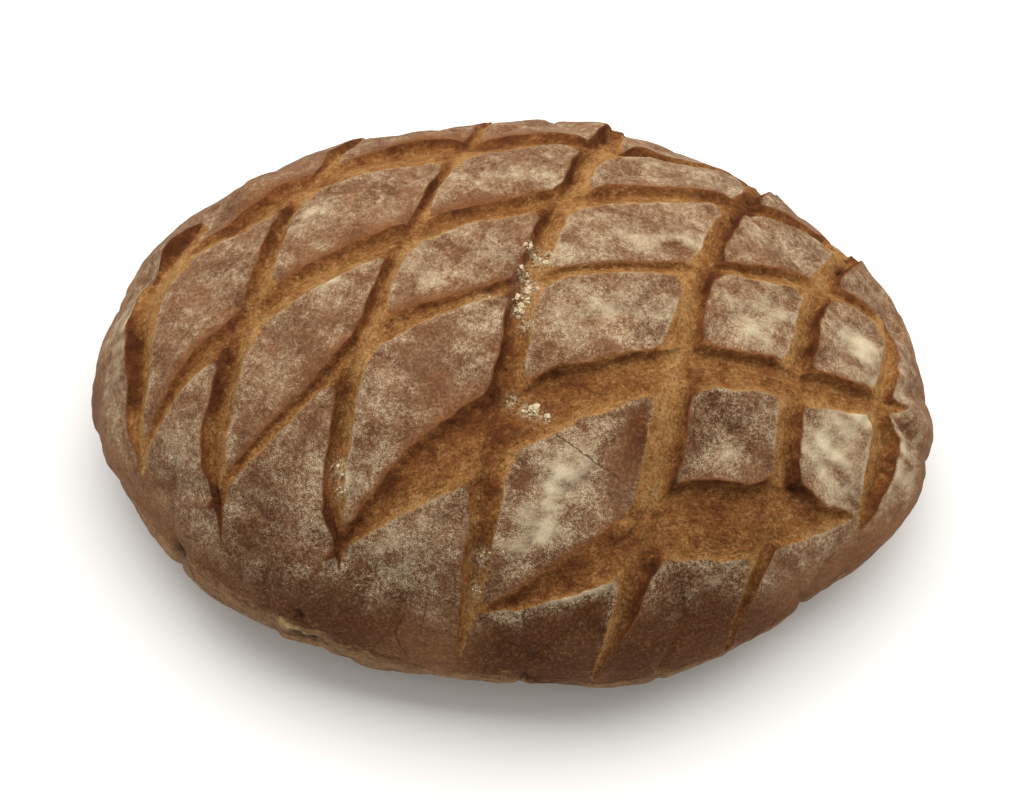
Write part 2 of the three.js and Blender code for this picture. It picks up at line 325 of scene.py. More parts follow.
@dataclass(frozen=True)
class CutProfile:
    """The section of an opened cut, in millimetres."""

    LEAST_UNEVENNESS: ClassVar[float] = 0.2
    LEAST_GAP: ClassVar[float] = 0.1  # of the floured crust behind a lip

    lip_rise: float  # of the crust at the lip, below zero where it rolled down into the cut instead
    low_drop: float  # of the crust at the other edge
    wall: float  # width of the wall under the lip
    flour_gap: float  # how far back from the lip the crust lost its flour
    baked_reach: float  # how far back from the lip the bare crust is reddish
    overhang: float  # how far the lip leans out over the cut
    middle_tone: float  # of the torn crumb, from 0 where it is pale to 1 where it is dark
    # The lip's tone is partly the crumb's own darker colour and partly painted shade under the lip.
    lip_tone_and_shade: float  # of the torn crumb right below the lip
    crossing_share: float  # how much of the crumb's look it gives where it crosses another cut
    depth: float
    depth_reach: float = 2.5
    end: float = 3
    lip_reach: float = 6.5
    low_reach: float = 4
    low_floor: float = 0.5  # depth beside the low edge, as a share of the depth at the wall
    floor_fall: tuple[float, float] = (-0.7, 0.6)  # stations between which the floor falls
    low_slope: float = 2
    wall_share: float = 0.7  # most that the wall takes of the half width
    low_share: float = 0.45
    full_strength: float = 4  # half width from which the edges have their whole height
    overhang_reach: float = 3
    dark_reach: float = 2.8  # how far into the cut the crumb is dark below the lip
    pale_reach: float = 2.4  # and pale beside the low edge
    low_flour: float = 0.22  # flour that the low edge holds besides
    low_flour_reach: float = 0.9

    def strength(self, half_width: np.ndarray) -> np.ndarray:
        """Return how strong the edges are at each half width, from 0 to 1."""
        return np.clip(half_width / self.full_strength, 0, 1)

    @staticmethod
    def from_low(station: np.ndarray, half_width: np.ndarray) -> np.ndarray:
        """Return how far each point is past the low edge, below zero outside the cut."""
        return (station + 1) * half_width

    @staticmethod
    def from_lip(station: np.ndarray, half_width: np.ndarray) -> np.ndarray:
        """Return how far each point is past the lip, below zero outside the cut."""
        return (1 - station) * half_width

    def wall_foot(self, station: np.ndarray, half_width: np.ndarray) -> np.ndarray:
        """Return 0 on the lip and 1 from the foot of its wall on."""
        width = np.minimum(self.wall, self.wall_share * half_width)
        return smooth(self.from_lip(station, half_width), 0, width)

    def relief(self, station: np.ndarray, half_width: np.ndarray) -> np.ndarray:
        """Return the height of the crust beside and inside a cut, above or below the smooth loaf.

        Args:
            station: Place across the cut, from -1 at its low edge to 1 at its lip.
            half_width: Half the width of the cut there.

        Returns:
            The height in millimetres.
        """
        past_low = self.from_low(station, half_width)
        past_lip = self.from_lip(station, half_width)
        drop = self.low_drop * self.strength(half_width)
        rise = self.lip_rise * self.strength(half_width)
        deepest = self.depth * (1 - np.exp(-half_width / self.depth_reach)) * smooth(half_width, 0, self.end)
        slope = smooth(past_low, 0, np.minimum(self.low_slope, self.low_share * half_width))
        wall = self.wall_foot(station, half_width)
        floor = self.low_floor + (1 - self.low_floor) * smooth(station, *self.floor_fall)
        inside = rise * (1 - wall) - drop * (1 - slope) - deepest * slope * floor * wall
        low_side = -drop * fading(-past_low, self.low_reach)
        lip_side = rise * fading(-past_lip, self.lip_reach)
        return np.where(past_low <= 0, low_side, np.where(past_lip <= 0, lip_side, inside))

    def lean(self, station: np.ndarray, half_width: np.ndarray) -> np.ndarray:
        """Return how far the crust near the lip moves out over the cut.

        Args:
            station: Place across the cut, from -1 at its low edge to 1 at its lip.
            half_width: Half the width of the cut there.

        Returns:
            The way in millimetres.
        """
        behind = fading(-self.from_lip(station, half_width), self.overhang_reach)
        return self.overhang * self.strength(half_width) * (1 - self.wall_foot(station, half_width)) * behind

    def near_lip(self, station: np.ndarray, half_width: np.ndarray) -> np.ndarray:
        """Return 1 on the lip, and less the farther into the cut."""
        return fading(self.from_lip(station, half_width), self.dark_reach)

    def tone_and_shade(self, station: np.ndarray, half_width: np.ndarray) -> np.ndarray:
        """Return the tone of the torn crumb, with painted shade below the lip.

        Args:
            station: Place across the cut, from -1 at its low edge to 1 at its lip.
            half_width: Half the width of the cut there.

        Returns:
            The tone, from 0 where the crumb is pale to 1 where it is dark.
        """
        pale = fading(self.from_low(station, half_width), self.pale_reach)
        darker = (self.lip_tone_and_shade - self.middle_tone) * self.near_lip(station, half_width)
        return self.middle_tone + darker - self.middle_tone * pale

    def baked(self, station: np.ndarray, half_width: np.ndarray) -> np.ndarray:
        """Return how reddish the bare crust behind the lip is, from 0 to 1."""
        behind = fading(-self.from_lip(station, half_width), self.baked_reach)
        return np.where(station > 0, self.strength(half_width) * behind, 0)

    def low_line(self, station: np.ndarray, half_width: np.ndarray) -> np.ndarray:
        """Return how much more flour lies along the low edge."""
        outside = fading(-self.from_low(station, half_width), self.low_flour_reach)
        return np.where(station < 0, self.low_flour * self.strength(half_width) * outside, 0)

    def flour_kept(self, station: np.ndarray, half_width: np.ndarray, unevenness: np.ndarray) -> np.ndarray:
        """Return how much of its flour the crust kept.

        Args:
            station: Place across the cut, from -1 at its low edge to 1 at its lip.
            half_width: Half the width of the cut there.
            unevenness: Factor on the width of the floured crust's gap behind the lip.

        Returns:
            The share, from 0 at the lip to 1 away from it.
        """
        behind = np.maximum(-self.from_lip(station, half_width), 0)
        width = self.flour_gap * np.maximum(unevenness, self.LEAST_UNEVENNESS)
        gap = width * self.strength(half_width) + self.LEAST_GAP
        return np.where(station > 0, 1 - bell(behind / gap), 1)


# The long cuts rolled open towards the back, with crisp lips at the right of the loaf. The front one's left
# end hardly opened at all, and the cross cuts lifted one edge as a thin flap.
ROLLED = CutProfile(
    lip_rise=-1.0,
    low_drop=0.15,
    wall=4.0,
    flour_gap=4.2,
    baked_reach=4.0,
    overhang=0,
    middle_tone=0.5,
    lip_tone_and_shade=0.8,
    crossing_share=1,
    depth=3.5,
)
CRISP = CutProfile(
    lip_rise=0.3,
    low_drop=0.3,
    wall=3.0,
    flour_gap=1.0,
    baked_reach=1.3,
    overhang=0.3,
    middle_tone=0.45,
    lip_tone_and_shade=0.64,
    crossing_share=1,
    depth=3.4,
    dark_reach=1.8,
)
FADED = CutProfile(
    lip_rise=-0.6,
    low_drop=-0.7,
    wall=9.0,
    flour_gap=3.0,
    baked_reach=2.0,
    overhang=0,
    middle_tone=0.55,
    lip_tone_and_shade=0.7,
    crossing_share=0.4,
    depth=2.4,
    wall_share=1.2,
    pale_reach=0.4,
    low_flour=0.3,
    low_flour_reach=2.6,
)
FLAP = CutProfile(
    lip_rise=0.9,
    low_drop=0.4,
    wall=2.4,
    flour_gap=0.5,
    baked_reach=0.4,
    overhang=0.5,
    middle_tone=0.24,
    lip_tone_and_shade=0.88,
    crossing_share=3,
    depth=4.0,
    dark_reach=1.7,
    pale_reach=3.2,
)


@dataclass(frozen=True)
class Cut:
    """A cut of the blade: a spline through places of the plan, each with the width to which it opened."""

    lip: Lip
    profile: CutProfile
    path: Path
    right_profile: CutProfile | None = None  # its profile at the right of the loaf, if it has another there


LONG_PATHS = (
    ((-125, 22, 6), (-98, 37, 12), (-60, 61, 20), (-10, 74, 16), (30, 78, 8), (92, 80, 3)),
    ((-125, -46, 3), (-98, -14, 9), (-62, 10, 12), (-22, 30, 9), (20, 44, 10), (70, 57, 8), (112, 57, 8)),
    (
        *((-98, -67, 1), (-86, -56, 4), (-66, -39, 5), (-40, -16, 8), (-5, 0, 6), (37, 13, 4)),
        *((77, 22, 6), (110, 25, 7), (127, 21, 6), (134, 16, 3)),
    ),
    (
        *((-58, -88, 0.5), (-49, -81, 3), (-38, -73, 11), (-7, -52, 22), (26, -34, 19), (67, -19, 16)),
        *((110, -17, 12), (127, -14, 10), (137, -12, 3)),
    ),
    (
        *((47, -75, 6), (55, -71, 20), (64, -68, 27), (81, -64, 26)),
        *((98, -58, 21), (110, -55, 11), (121, -51, 2)),
    ),
)
FADED_PATH = ((-6, -98, 1), (7, -95, 5), (24, -89, 11), (40, -82, 16), (50, -77, 20), (62, -71, 8))
LEFT_LIP_PATHS = (
    (
        *((-115, 46, 8), (-118, 34, 13), (-121, 22, 15), (-125, 10, 15), (-126, 0, 14)),
        *((-126, -12, 12), (-126, -22, 10), (-126, -32, 7), (-125, -41, 4), (-124, -50, 1)),
    ),
    ((-60, 90, 6), (-71, 60, 6), (-81, 25, 7), (-90, -18, 8), (-95, -50, 9), (-94, -60, 5), (-91, -76, 1)),
    ((-12, 97, 4), (-30, 40, 4), (-42, 0, 6), (-51, -45, 8), (-53, -69, 7), (-51, -79, 3), (-49, -91, 0.5)),
    ((36, 98, 8), (15, 36, 9), (5, -10, 10), (-1, -60, 11), (-5, -90, 8), (-9, -106, 2)),
)
RIGHT_LIP_PATHS = (
    ((92, 86, 8), (71, 34, 8), (60, -10, 11), (55, -50, 13), (47, -90, 9), (36, -108, 2)),
    ((121, 55, 9), (106, 18, 9), (98, -25, 8), (95, -56, 8), (80, -96, 2)),
    (
        *((132, 24, 4), (133, 12, 6), (132, 2, 7), (131, -7, 7), (130, -14, 5), (130, -20, 7)),
        *((131, -26, 12), (130, -33, 12), (128, -41, 9), (126, -48, 5), (123, -54, 1)),
    ),
)
CUTS = (
    *(Cut(Lip.BACK, ROLLED, path, CRISP) for path in LONG_PATHS),
    Cut(Lip.BACK, FADED, FADED_PATH),
    *(Cut(Lip.LEFT, FLAP, path) for path in LEFT_LIP_PATHS),
    *(Cut(Lip.RIGHT, FLAP, path) for path in RIGHT_LIP_PATHS),
)


@dataclass(frozen=True)
class CutReading:
    """Where each point lies from one cut, or from every cut with one row for each."""

    offset: np.ndarray  # off the cut's middle line, towards the left hand of its direction
    half_width: np.ndarray
    along: np.ndarray  # way along the cut
    across: np.ndarray  # direction across the cut, on the crust

    @property
    def gap(self) -> np.ndarray:
        """How far outside the cut each point is, below zero inside."""
        return np.abs(self.offset) - self.half_width


class LaidCut:
    """A cut laid on the dome, as stations along its middle line."""

    STATIONS = 181
    SPLINE_STEPS = 60
    LEAST_WIDTH = 0.5

    def __init__(self, form: LoafForm, cut: Cut) -> None:
        """Lay the cut.

        Args:
            form: The smooth loaf.
            cut: The cut to lay.
        """
        self.cut = cut
        spline = self.spline(np.array(cut.path, float))
        steps = np.linalg.norm(np.diff(spline, axis=0), axis=1)
        walked = np.concatenate([[0], np.cumsum(steps)])
        wanted = np.linspace(0, walked[-1], self.STATIONS)
        x, y, width = (np.interp(wanted, walked, spline[:, i]) for i in range(3))
        self.places = np.stack([x, y, form.dome_height(x, y)], 1)
        self.half_widths = np.maximum(width, self.LEAST_WIDTH) / 2
        ahead = np.gradient(self.places, axis=0)
        normal = form.dome_normal(self.places)
        across = unit(np.stack([-ahead[:, 1], ahead[:, 0], np.zeros(self.STATIONS)], 1))
        self.across = unit(across - normal * (across * normal).sum(axis=1, keepdims=True))
        self.along = np.concatenate([[0], np.cumsum(np.linalg.norm(np.diff(self.places, axis=0), axis=1))])

    def spline(self, knots: np.ndarray) -> np.ndarray:
        """Return close points of the Catmull-Rom spline through the knots.

        Args:
            knots: A place of the plan and a width on each row.

        Returns:
            The points, with a width each as well.
        """
        held = np.concatenate([[2 * knots[0] - knots[1]], knots, [2 * knots[-1] - knots[-2]]])
        share = np.linspace(0, 1, self.SPLINE_STEPS, endpoint=False)[:, None]
        spans = []
        for before, start, end, after in zip(held, held[1:], held[2:], held[3:]):
            bend = 2 * before - 5 * start + 4 * end - after
            twist = 3 * (start - end) + after - before
            spans.append(start + ((end - before) * share + bend * share**2 + twist * share**3) / 2)
        return np.concatenate([*spans, knots[-1:]])

    def measure(self, points: np.ndarray) -> CutReading:
        """Return where each point lies from the cut.

        Args:
            points: Places on the smooth loaf, one a row.

        Returns:
            The reading, with one value for each point.
        """
        squares = (self.places**2).sum(axis=1) - 2 * points @ self.places.T
        nearest = squares.argmin(axis=1)
        gap = np.full(len(points), np.inf)
        offset, half_width, along = (np.zeros(len(points)) for _ in range(3))
        across = np.zeros((len(points), 3))
        for step in (-1, 0):
            start = np.clip(nearest + step, 0, self.STATIONS - 2)
            stretch = self.places[start + 1] - self.places[start]
            share = ((points - self.places[start]) * stretch).sum(axis=1) / (stretch**2).sum(axis=1)
            share = np.clip(share, 0, 1)
            off = points - self.places[start] - share[:, None] * stretch
            distance = np.linalg.norm(off, axis=1)
            closer = distance < gap
            side = np.where((off * self.across[start]).sum(axis=1) < 0, -1, 1)
            gap = np.where(closer, distance, gap)
            offset = np.where(closer, side * distance, offset)
            half_width = np.where(closer, self.between(self.half_widths, start, share), half_width)
            along = np.where(closer, self.between(self.along, start, share), along)
            across = np.where(closer[:, None], self.across[start], across)
        return CutReading(offset, half_width, along, across)

    @staticmethod
    def between(values: np.ndarray, start: np.ndarray, share: np.ndarray) -> np.ndarray:
        """Return the values at shares of the way from each start station to the next."""
        return values[start] + share * (values[start + 1] - values[start])


# ---- Flaps, flour and cracks, placed one by one ----

# Corners and edges that curled up, and the rough bumps and notches at the end and along the back.
CURLS = (
    Swell(14, -22, 101, 7, 1.2),
    Swell(67, -7, 94, 6, 1.0),
    Swell(79, -52, 79, 10, 1.3),
    Swell(103, -46, 71, 7, 1.3),
    Swell(-91, -24, 84, 9, 1.2),
    Swell(-130, -10, 63, 10, 1.0),
    Swell(-124, 36, 60, 7, 0.8),
    Swell(-83, 26, 86, 10, 1.0),
    Swell(-49, -26, 95, 12, 1.0),
    Swell(12, -94, 63, 8, 1.2),
    Swell(27, -92, 66, 8, 1.2),
    Swell(40, -87, 69, 8, 1.1),
    Swell(131, -16, 63, 2.5, 1.8),
    Swell(134, -18, 60, 2.5, 2.2),
    Swell(137, -22, 57, 2.5, 2.0),
    Swell(139, -10, 57, 3.5, 2.4),
    Swell(137, -2, 60, 3, 2.2),
    Swell(141, -1, 54, 3, 1.6),
    Swell(142, 6, 52, 4, 2.0),
    Swell(143, -13, 51, 4, 1.9),
    Swell(140, -6, 56, 2.5, -1.0),
    Swell(136, -12, 59, 2.5, -1.2),
    Swell(141, -17, 53, 2.5, -1.4),
    Swell(139, -30, 50, 8, 2.2),
    Swell(107, -3, 81, 4, 2.4),
    Swell(108, 4, 80, 4, 1.0),
    Swell(-118, 38, 64, 7, 0.8),
    Swell(-133, 0, 60, 7, 1.2),
    Swell(12, -17, 101, 6, 1.4),
    Swell(28, 91, 69, 8, 2.2),
    Swell(14, 95, 66, 8, 0.8),
    Swell(45, 82, 74, 8, 1.4),
    Swell(121, 48, 57, 7, 2.2),
    Swell(140, 17, 54, 5, 2.6),
    Swell(-68, 68, 75, 5, -1.8),
    Swell(-20, 83, 75, 5, -0.7),
    Swell(35, 82, 76, 5, -3.6),
    Swell(84, 71, 66, 5, -2.2),
    Swell(116, 43, 63, 5, -2.4),
    Swell(145, 0, 50, 6, -1.6),
    # The wide swells and hollows of the side.
    Swell(136, 25, 54, 8, -4.0),
    Swell(-96, 60, 67, 12, 3.4),
    Swell(-110, 47, 66, 9, -3.4),
    Swell(-129, 27, 58, 8, -1.6),
    Swell(-40, 81, 73, 13, 2.4),
    Swell(-27, 85, 71, 8, 1.6),
    Swell(-71, -95, 30, 9, 2.4),
    Swell(-105, -76, 29, 9, 2.0),
    Swell(-141, -33, 41, 13, 1.6),
    Swell(-36, -105, 28, 14, -1.8),
    Swell(66, 79, 69, 16, 1.6),
    Swell(92, -85, 30, 18, 2.0),
    Swell(137, -46, 32, 13, 2.2),
    Swell(46, -106, 30, 10, -1.8),
)

# Hollows of the cuts, mostly where a cross cut starts under the edge of a long one.
# They are dug into the crumb, and darken its tone as painted shade.
RECESSES = (
    Swell(-120, 34, 66, 7, -1.0),
    Swell(-129, -3, 64, 5, -2.0),
    Swell(-129, -13, 64, 6, -1.6),
    Swell(-130, -24, 60, 5, -0.8),
    Swell(104, -4, 82, 3, -1.4),
    Swell(15, -24, 100, 5, -1.4),
    Swell(-79, 38, 85, 5, -1.4),
    Swell(-81, 27, 88, 6, -0.9),
    Swell(-91, -19, 85, 5, -1.5),
    Swell(-94, -32, 81, 7, -1.2),
    Swell(-27, 49, 93, 5, -1.2),
    Swell(-29, 39, 96, 5, -1.0),
    Swell(-41, 9, 99, 5, -1.4),
    Swell(-43, -5, 99, 6, -1.0),
    Swell(-50, -38, 93, 5, -1.4),
    Swell(-52, -48, 89, 5, -0.8),
    Swell(20, 60, 91, 7, -1.2),
    Swell(14, 35, 98, 6, -1.0),
    Swell(73, 46, 84, 6, -1.2),
    Swell(66, 13, 94, 6, -1.2),
    Swell(108, 14, 79, 6, -1.2),
    Swell(104, 1, 82, 5, -0.7),
    Swell(35, 85, 74, 7, -3.0),
    Swell(119, 45, 61, 7, -3.2),
    Swell(-131, 22, 58, 8, -1.8),
    Swell(-94, -65, 63, 5, -1.0),
    Swell(-51, -80, 70, 6, -1.0),
    Swell(101, -50, 69, 5, -1.0),
    Swell(68, -56, 80, 7, -1.0),
    Swell(92, -48, 76, 9, -1.0),
)


@dataclass(frozen=True)
class Patch:
    """A patch of the plan with more of something than round it, or less where its amount is below zero."""

    x: float
    y: float
    length: float
    width: float
    turn: float  # of its length from +X, in degrees
    amount: float

    def at(self, points: np.ndarray) -> np.ndarray:
        """Return what the patch adds.

        Args:
            points: Places, of which only the plan counts.

        Returns:
            The amount at each point.
        """
        turn = math.radians(self.turn)
        ahead = (points[:, 0] - self.x) * math.cos(turn) + (points[:, 1] - self.y) * math.sin(turn)
        aside = (points[:, 1] - self.y) * math.cos(turn) - (points[:, 0] - self.x) * math.sin(turn)
        return self.amount * np.exp(-((2 * ahead / self.length) ** 2) - (2 * aside / self.width) ** 2)


# The flour's faint streaks run along the first column, turned from the loaf's length.
BRUSHING = np.array(Matrix.Rotation(math.radians(-20), 3, "Z"))

FLOUR_PATCHES = (
    # The plate in front of the middle, with the heaviest flour of all, and its bare corner.
    Patch(18, -70, 40, 17, 62, 0.64),
    Patch(20, -68, 20, 9, 70, 0.25),
    Patch(31, -51, 22, 14, 30, 0.3),
    Patch(44, -48, 34, 28, 60, -0.3),
    Patch(9, -61, 7, 6, 0, -0.3),
    Patch(8, -88, 22, 12, 0, -0.22),
    # The plate to its left.
    Patch(-27, -80, 30, 16, 30, 0.16),
    Patch(-10, -63, 20, 16, 0, -0.1),
    # The plates behind it.
    Patch(-30, -50, 70, 32, 60, -0.12),
    Patch(-9, -8, 18, 12, -10, 0.38),
    Patch(-11, -24, 16, 8, 15, 0.3),
    Patch(-18, 12, 44, 24, 15, 0.16),
    Patch(0, 52, 50, 16, 0, 0.22),
    Patch(24, -4, 30, 22, 40, 0.16),
    Patch(44, -2, 30, 16, -5, 0.2),
    Patch(24, 26, 20, 12, 70, 0.22),
    Patch(50, 32, 44, 18, 15, 0.22),
    # The left of the loaf.
    Patch(-70, 34, 22, 11, 60, 0.32),
    Patch(-61, 3, 24, 12, 35, 0.2),
    Patch(-72, -60, 40, 24, 70, -0.04),
    Patch(-54, -63, 14, 20, 0, 0.12),
    Patch(-131, 6, 56, 16, 75, 0.4),
    Patch(-132, -34, 34, 14, 100, 0.22),
    Patch(-104, -44, 40, 20, 90, 0.12),
    Patch(-92, 0, 60, 30, 65, 0.07),
    Patch(-42, -62, 50, 30, 75, 0.24),
    Patch(-34, -60, 34, 12, 30, 0.16),
    # The right of the loaf.
    Patch(84, 4, 36, 24, -10, 0.32),
    Patch(92, 41, 40, 16, -10, 0.14),
    Patch(52, 77, 50, 14, -10, 0.18),
    Patch(118, 4, 32, 18, -50, 0.3),
    Patch(114, -34, 40, 24, 80, 0.42),
    Patch(72, -28, 34, 22, 0, -0.03),
    Patch(86, -44, 22, 14, 0, -0.1),
    Patch(75, -46, 9, 7, 20, 0.28),
    Patch(90, -33, 12, 16, 0, 0.14),
    Patch(135, -18, 12, 10, 0, -0.3),
    Patch(138, 2, 10, 6, 90, 0.2),
    Patch(140, 14, 10, 8, 90, 0.1),
    Patch(138, -34, 36, 16, -65, 0.55),
    Patch(143, -18, 30, 14, -80, 0.2),
    # The plates along the front.
    Patch(25, -99, 70, 16, 8, -0.2),
    Patch(26, -92, 44, 6, 17, 0.24),
    Patch(49, -84, 12, 5, 60, 0.25),
    Patch(74, -84, 44, 20, 15, -0.06),
    Patch(72, -72, 30, 12, 15, 0.12),
)

# Where the crust is rough.
ROUGH_PATCHES = (
    Patch(138, -8, 44, 22, -75, 1.6),
    Patch(28, -90, 60, 16, 16, 0.9),
    Patch(-60, -100, 90, 24, 25, 0.6),
)

# Where the torn crumb in the cuts is paler, or darker where the amount is below zero.
PALE_PATCHES = (
    Patch(55, -50, 84, 7, 82, 0.18),
    Patch(-10, 74, 120, 14, 0, -0.1),
    Patch(-125, -42, 24, 12, 90, 0.3),
    Patch(-124, 18, 28, 20, 75, 0.5),
    Patch(-121, 41, 18, 14, 40, -0.45),
    Patch(133, 4, 40, 12, -85, 0.3),
    Patch(-62, 12, 34, 14, 30, 0.2),
    Patch(-45, 66, 70, 18, 10, 0.18),
    Patch(-105, 28, 40, 14, 35, 0.12),
    Patch(80, -66, 50, 20, 10, -0.1),
    Patch(-1, -74, 46, 9, 87, -0.5),
    Patch(-7, -78, 50, 4, 86, 0.4),
    Patch(82, 62, 56, 16, 70, -0.6),
    Patch(52, -92, 30, 12, 78, -0.35),
    Patch(-92, -74, 34, 18, -60, -0.45),
    Patch(-53, -86, 36, 24, -70, -0.5),
    Patch(0, -30, 40, 14, 85, -0.38),
    Patch(6, 10, 50, 12, 78, -0.12),
)

# Where the bare crust baked darkest, and along the front, where they also paint the shade of the side turned
# from the light.
TOAST_AND_SHADE_PATCHES = (
    Patch(52, -44, 30, 26, 50, 0.7),
    Patch(8, -59, 10, 8, 40, 0.5),
    Patch(-8, -62, 20, 12, 30, 0.5),
    Patch(78, -34, 34, 30, 0, 0.55),
    Patch(72, -84, 46, 26, 15, 0.7),
    Patch(28, -100, 80, 22, 8, 0.85),
    Patch(-30, -92, 60, 20, 15, 0.5),
    Patch(-60, -84, 50, 22, 40, 0.35),
    Patch(-84, -80, 70, 26, -38, 0.5),
    Patch(-70, -50, 50, 30, 60, 0.25),
    Patch(66, 48, 30, 14, 10, -0.3),
    Patch(-60, -10, 60, 50, 40, -0.35),
    Patch(-100, 5, 50, 40, 60, -0.4),
)


@dataclass(frozen=True)
class Crack:
    """A fine crack of the crust."""

    path: Path  # places near the surface
    width: float  # of its dark line
    strength: float = 1


CRACKS = (
    Crack(((20, -49, 94), (25, -52, 93), (31, -55, 91), (41, -60, 87)), 0.3),
    Crack(((-6, 10, 102), (-5, 14, 102), (-1, 16, 102), (4, 15, 102)), 0.4, 0.5),
    Crack(((-9, 3, 103), (-2, 5, 103), (3, 9, 103)), 0.3, 0.4),
    Crack(((41, 2, 100), (45, 0, 100), (48, -4, 99), (48, -9, 99)), 0.35, 0.6),
    Crack(((-29, -99, 51), (-31, -102, 45), (-29, -103, 40), (-27, -105, 35)), 0.4),
    Crack(((-1, -105, 43), (0, -106, 36), (-1, -107, 30)), 0.3, 0.8),
    Crack(((12, -96, 61), (12, -98, 57), (14, -102, 50), (16, -106, 42)), 0.4),
    Crack(((47, -103, 45), (46, -106, 38), (49, -107, 33)), 0.35, 0.7),
    Crack(((-51, -76, 73), (-52, -81, 69), (-51, -85, 65)), 0.35, 0.9),
    Crack(((-20, -94, 62), (-21, -98, 56), (-22, -102, 49)), 0.3, 0.7),
    Crack(((-106, -74, 36), (-101, -79, 31), (-95, -84, 28)), 0.5, 0.9),
    Crack(((118, -40, 64), (118, -44, 62), (118, -48, 59)), 0.4, 0.5),
    Crack(((115, -41, 66), (114, -46, 64), (115, -49, 62)), 0.35, 0.4),
)


# Where the side tore open in the oven, and its small holes.
TORN_PATH = ((-69, -95, 37), (-62, -97, 34))
SLIT_PATH = ((-66, -98, 33), (-61, -99, 32), (-56, -100, 30))
TEAR_WIDTH = 1.7
# The pits are dug in, and darkened besides as painted shade.
PITS = (
    Swell(-112, -72, 35, 2.8, -3.0),
    Swell(-111, -74, 33, 3.6, -3.4),
    Swell(-63, -95, 43, 1.7, -2.0),
    Swell(-64, -94, 45, 1.2, -1.2),
    Swell(-84, -84, 46, 1.4, -0.8),
    Swell(-82, -83, 48, 1.1, -0.8),
)

# How much higher the pale, creased crust low on the side reaches at the front left.
RIM_REACH = Patch(-85, -85, 130, 60, -35, 12)


@dataclass(frozen=True)
class Clump:
    """Loose lumps of flour round a place of the plan."""

    DUST: ClassVar[float] = 0.26
    DUST_REACH: ClassVar[float] = 0.9  # as a share of the spread

    x: float
    y: float
    spread: float
    count: int
    size: float  # radius of its larger lumps

    def at(self, points: np.ndarray) -> np.ndarray:
        """Return how much dust lies at each point round the clump."""
        squares = (points[:, 0] - self.x) ** 2 + (points[:, 1] - self.y) ** 2
        return self.DUST * np.exp(-squares / (self.DUST_REACH * self.spread) ** 2)


CLUMPS = (
    Clump(7, 19, 3, 9, 0.9),
    Clump(11, 14, 4, 12, 1.1),
    Clump(5, 8, 3, 8, 0.9),
    Clump(7, 2, 3.5, 16, 1.3),
    Clump(5, -5, 3, 14, 1.4),
    Clump(8, -12, 3, 8, 0.8),
    Clump(4, -38, 2.4, 4, 0.8),
    Clump(9, -41, 2.6, 7, 1.0),
    Clump(12, -42, 2.2, 6, 1.4),
    Clump(16, -43, 1.8, 5, 1.1),
    Clump(-52, -60, 3.4, 9, 0.7),
    Clump(-51, -67, 2.4, 5, 0.6),
    Clump(-3, -85, 3, 6, 0.6),
    Clump(-4, -93, 2, 6, 0.7),
    Clump(-6, -6, 5, 9, 0.6),
)


# ---- Shader nodes ----


class Signal:
    """A number on its way through a material's nodes. Arithmetic on it adds Math nodes."""

    def __init__(self, nodes: Nodes, socket: bpy.types.NodeSocket) -> None:
        """Wrap a socket of the given node tree."""
        self.nodes = nodes
        self.socket = socket

    def math(self, operation: str, *others: Signal | float) -> Signal:
        """Add a Math node on this signal.

        Args:
            operation: What the node does.
            others: What it takes besides this signal.

        Returns:
            Its result.
        """
        inputs = {0: self, **dict(enumerate(others, 1))}
        node = self.nodes.add("ShaderNodeMath", {"operation": operation}, inputs)
        return Signal(self.nodes, node.outputs[0])

    def __add__(self, other: Signal | float) -> Signal:
        """Add."""
        return self.math("ADD", other)

    __radd__ = __add__

    def __sub__(self, other: Signal | float) -> Signal:
        """Subtract."""
        return self.math("SUBTRACT", other)

    def __rsub__(self, other: float) -> Signal:
        """Subtract this signal from a number."""
        return self * -1 + other

    def __mul__(self, other: Signal | float) -> Signal:
        """Multiply."""
        return self.math("MULTIPLY", other)

    __rmul__ = __mul__

    def __abs__(self) -> Signal:
        """Return the size without its sign."""
        return self.math("ABSOLUTE")

    def step(self, low: float, high: float) -> Signal:
        """Return a smooth step.

        Args:
            low: Where the step is 0. It may lie above high, and the step then falls.
            high: Where it is 1.

        Returns:
            The step at this signal.
        """
        settings = {"interpolation_type": "SMOOTHSTEP"}
        inputs = {"Value": self, "From Min": low, "From Max": high}
        return Signal(self.nodes, self.nodes.add("ShaderNodeMapRange", settings, inputs).outputs[0])

    def ramp(self, *stops: tuple[float, Triple]) -> bpy.types.NodeSocket:
        """Return the colour of a ramp at this signal, from stops of a place and a colour."""
        return self.nodes.add("ShaderNodeValToRGB", {"stops": stops}, {"Fac": self}).outputs["Color"]


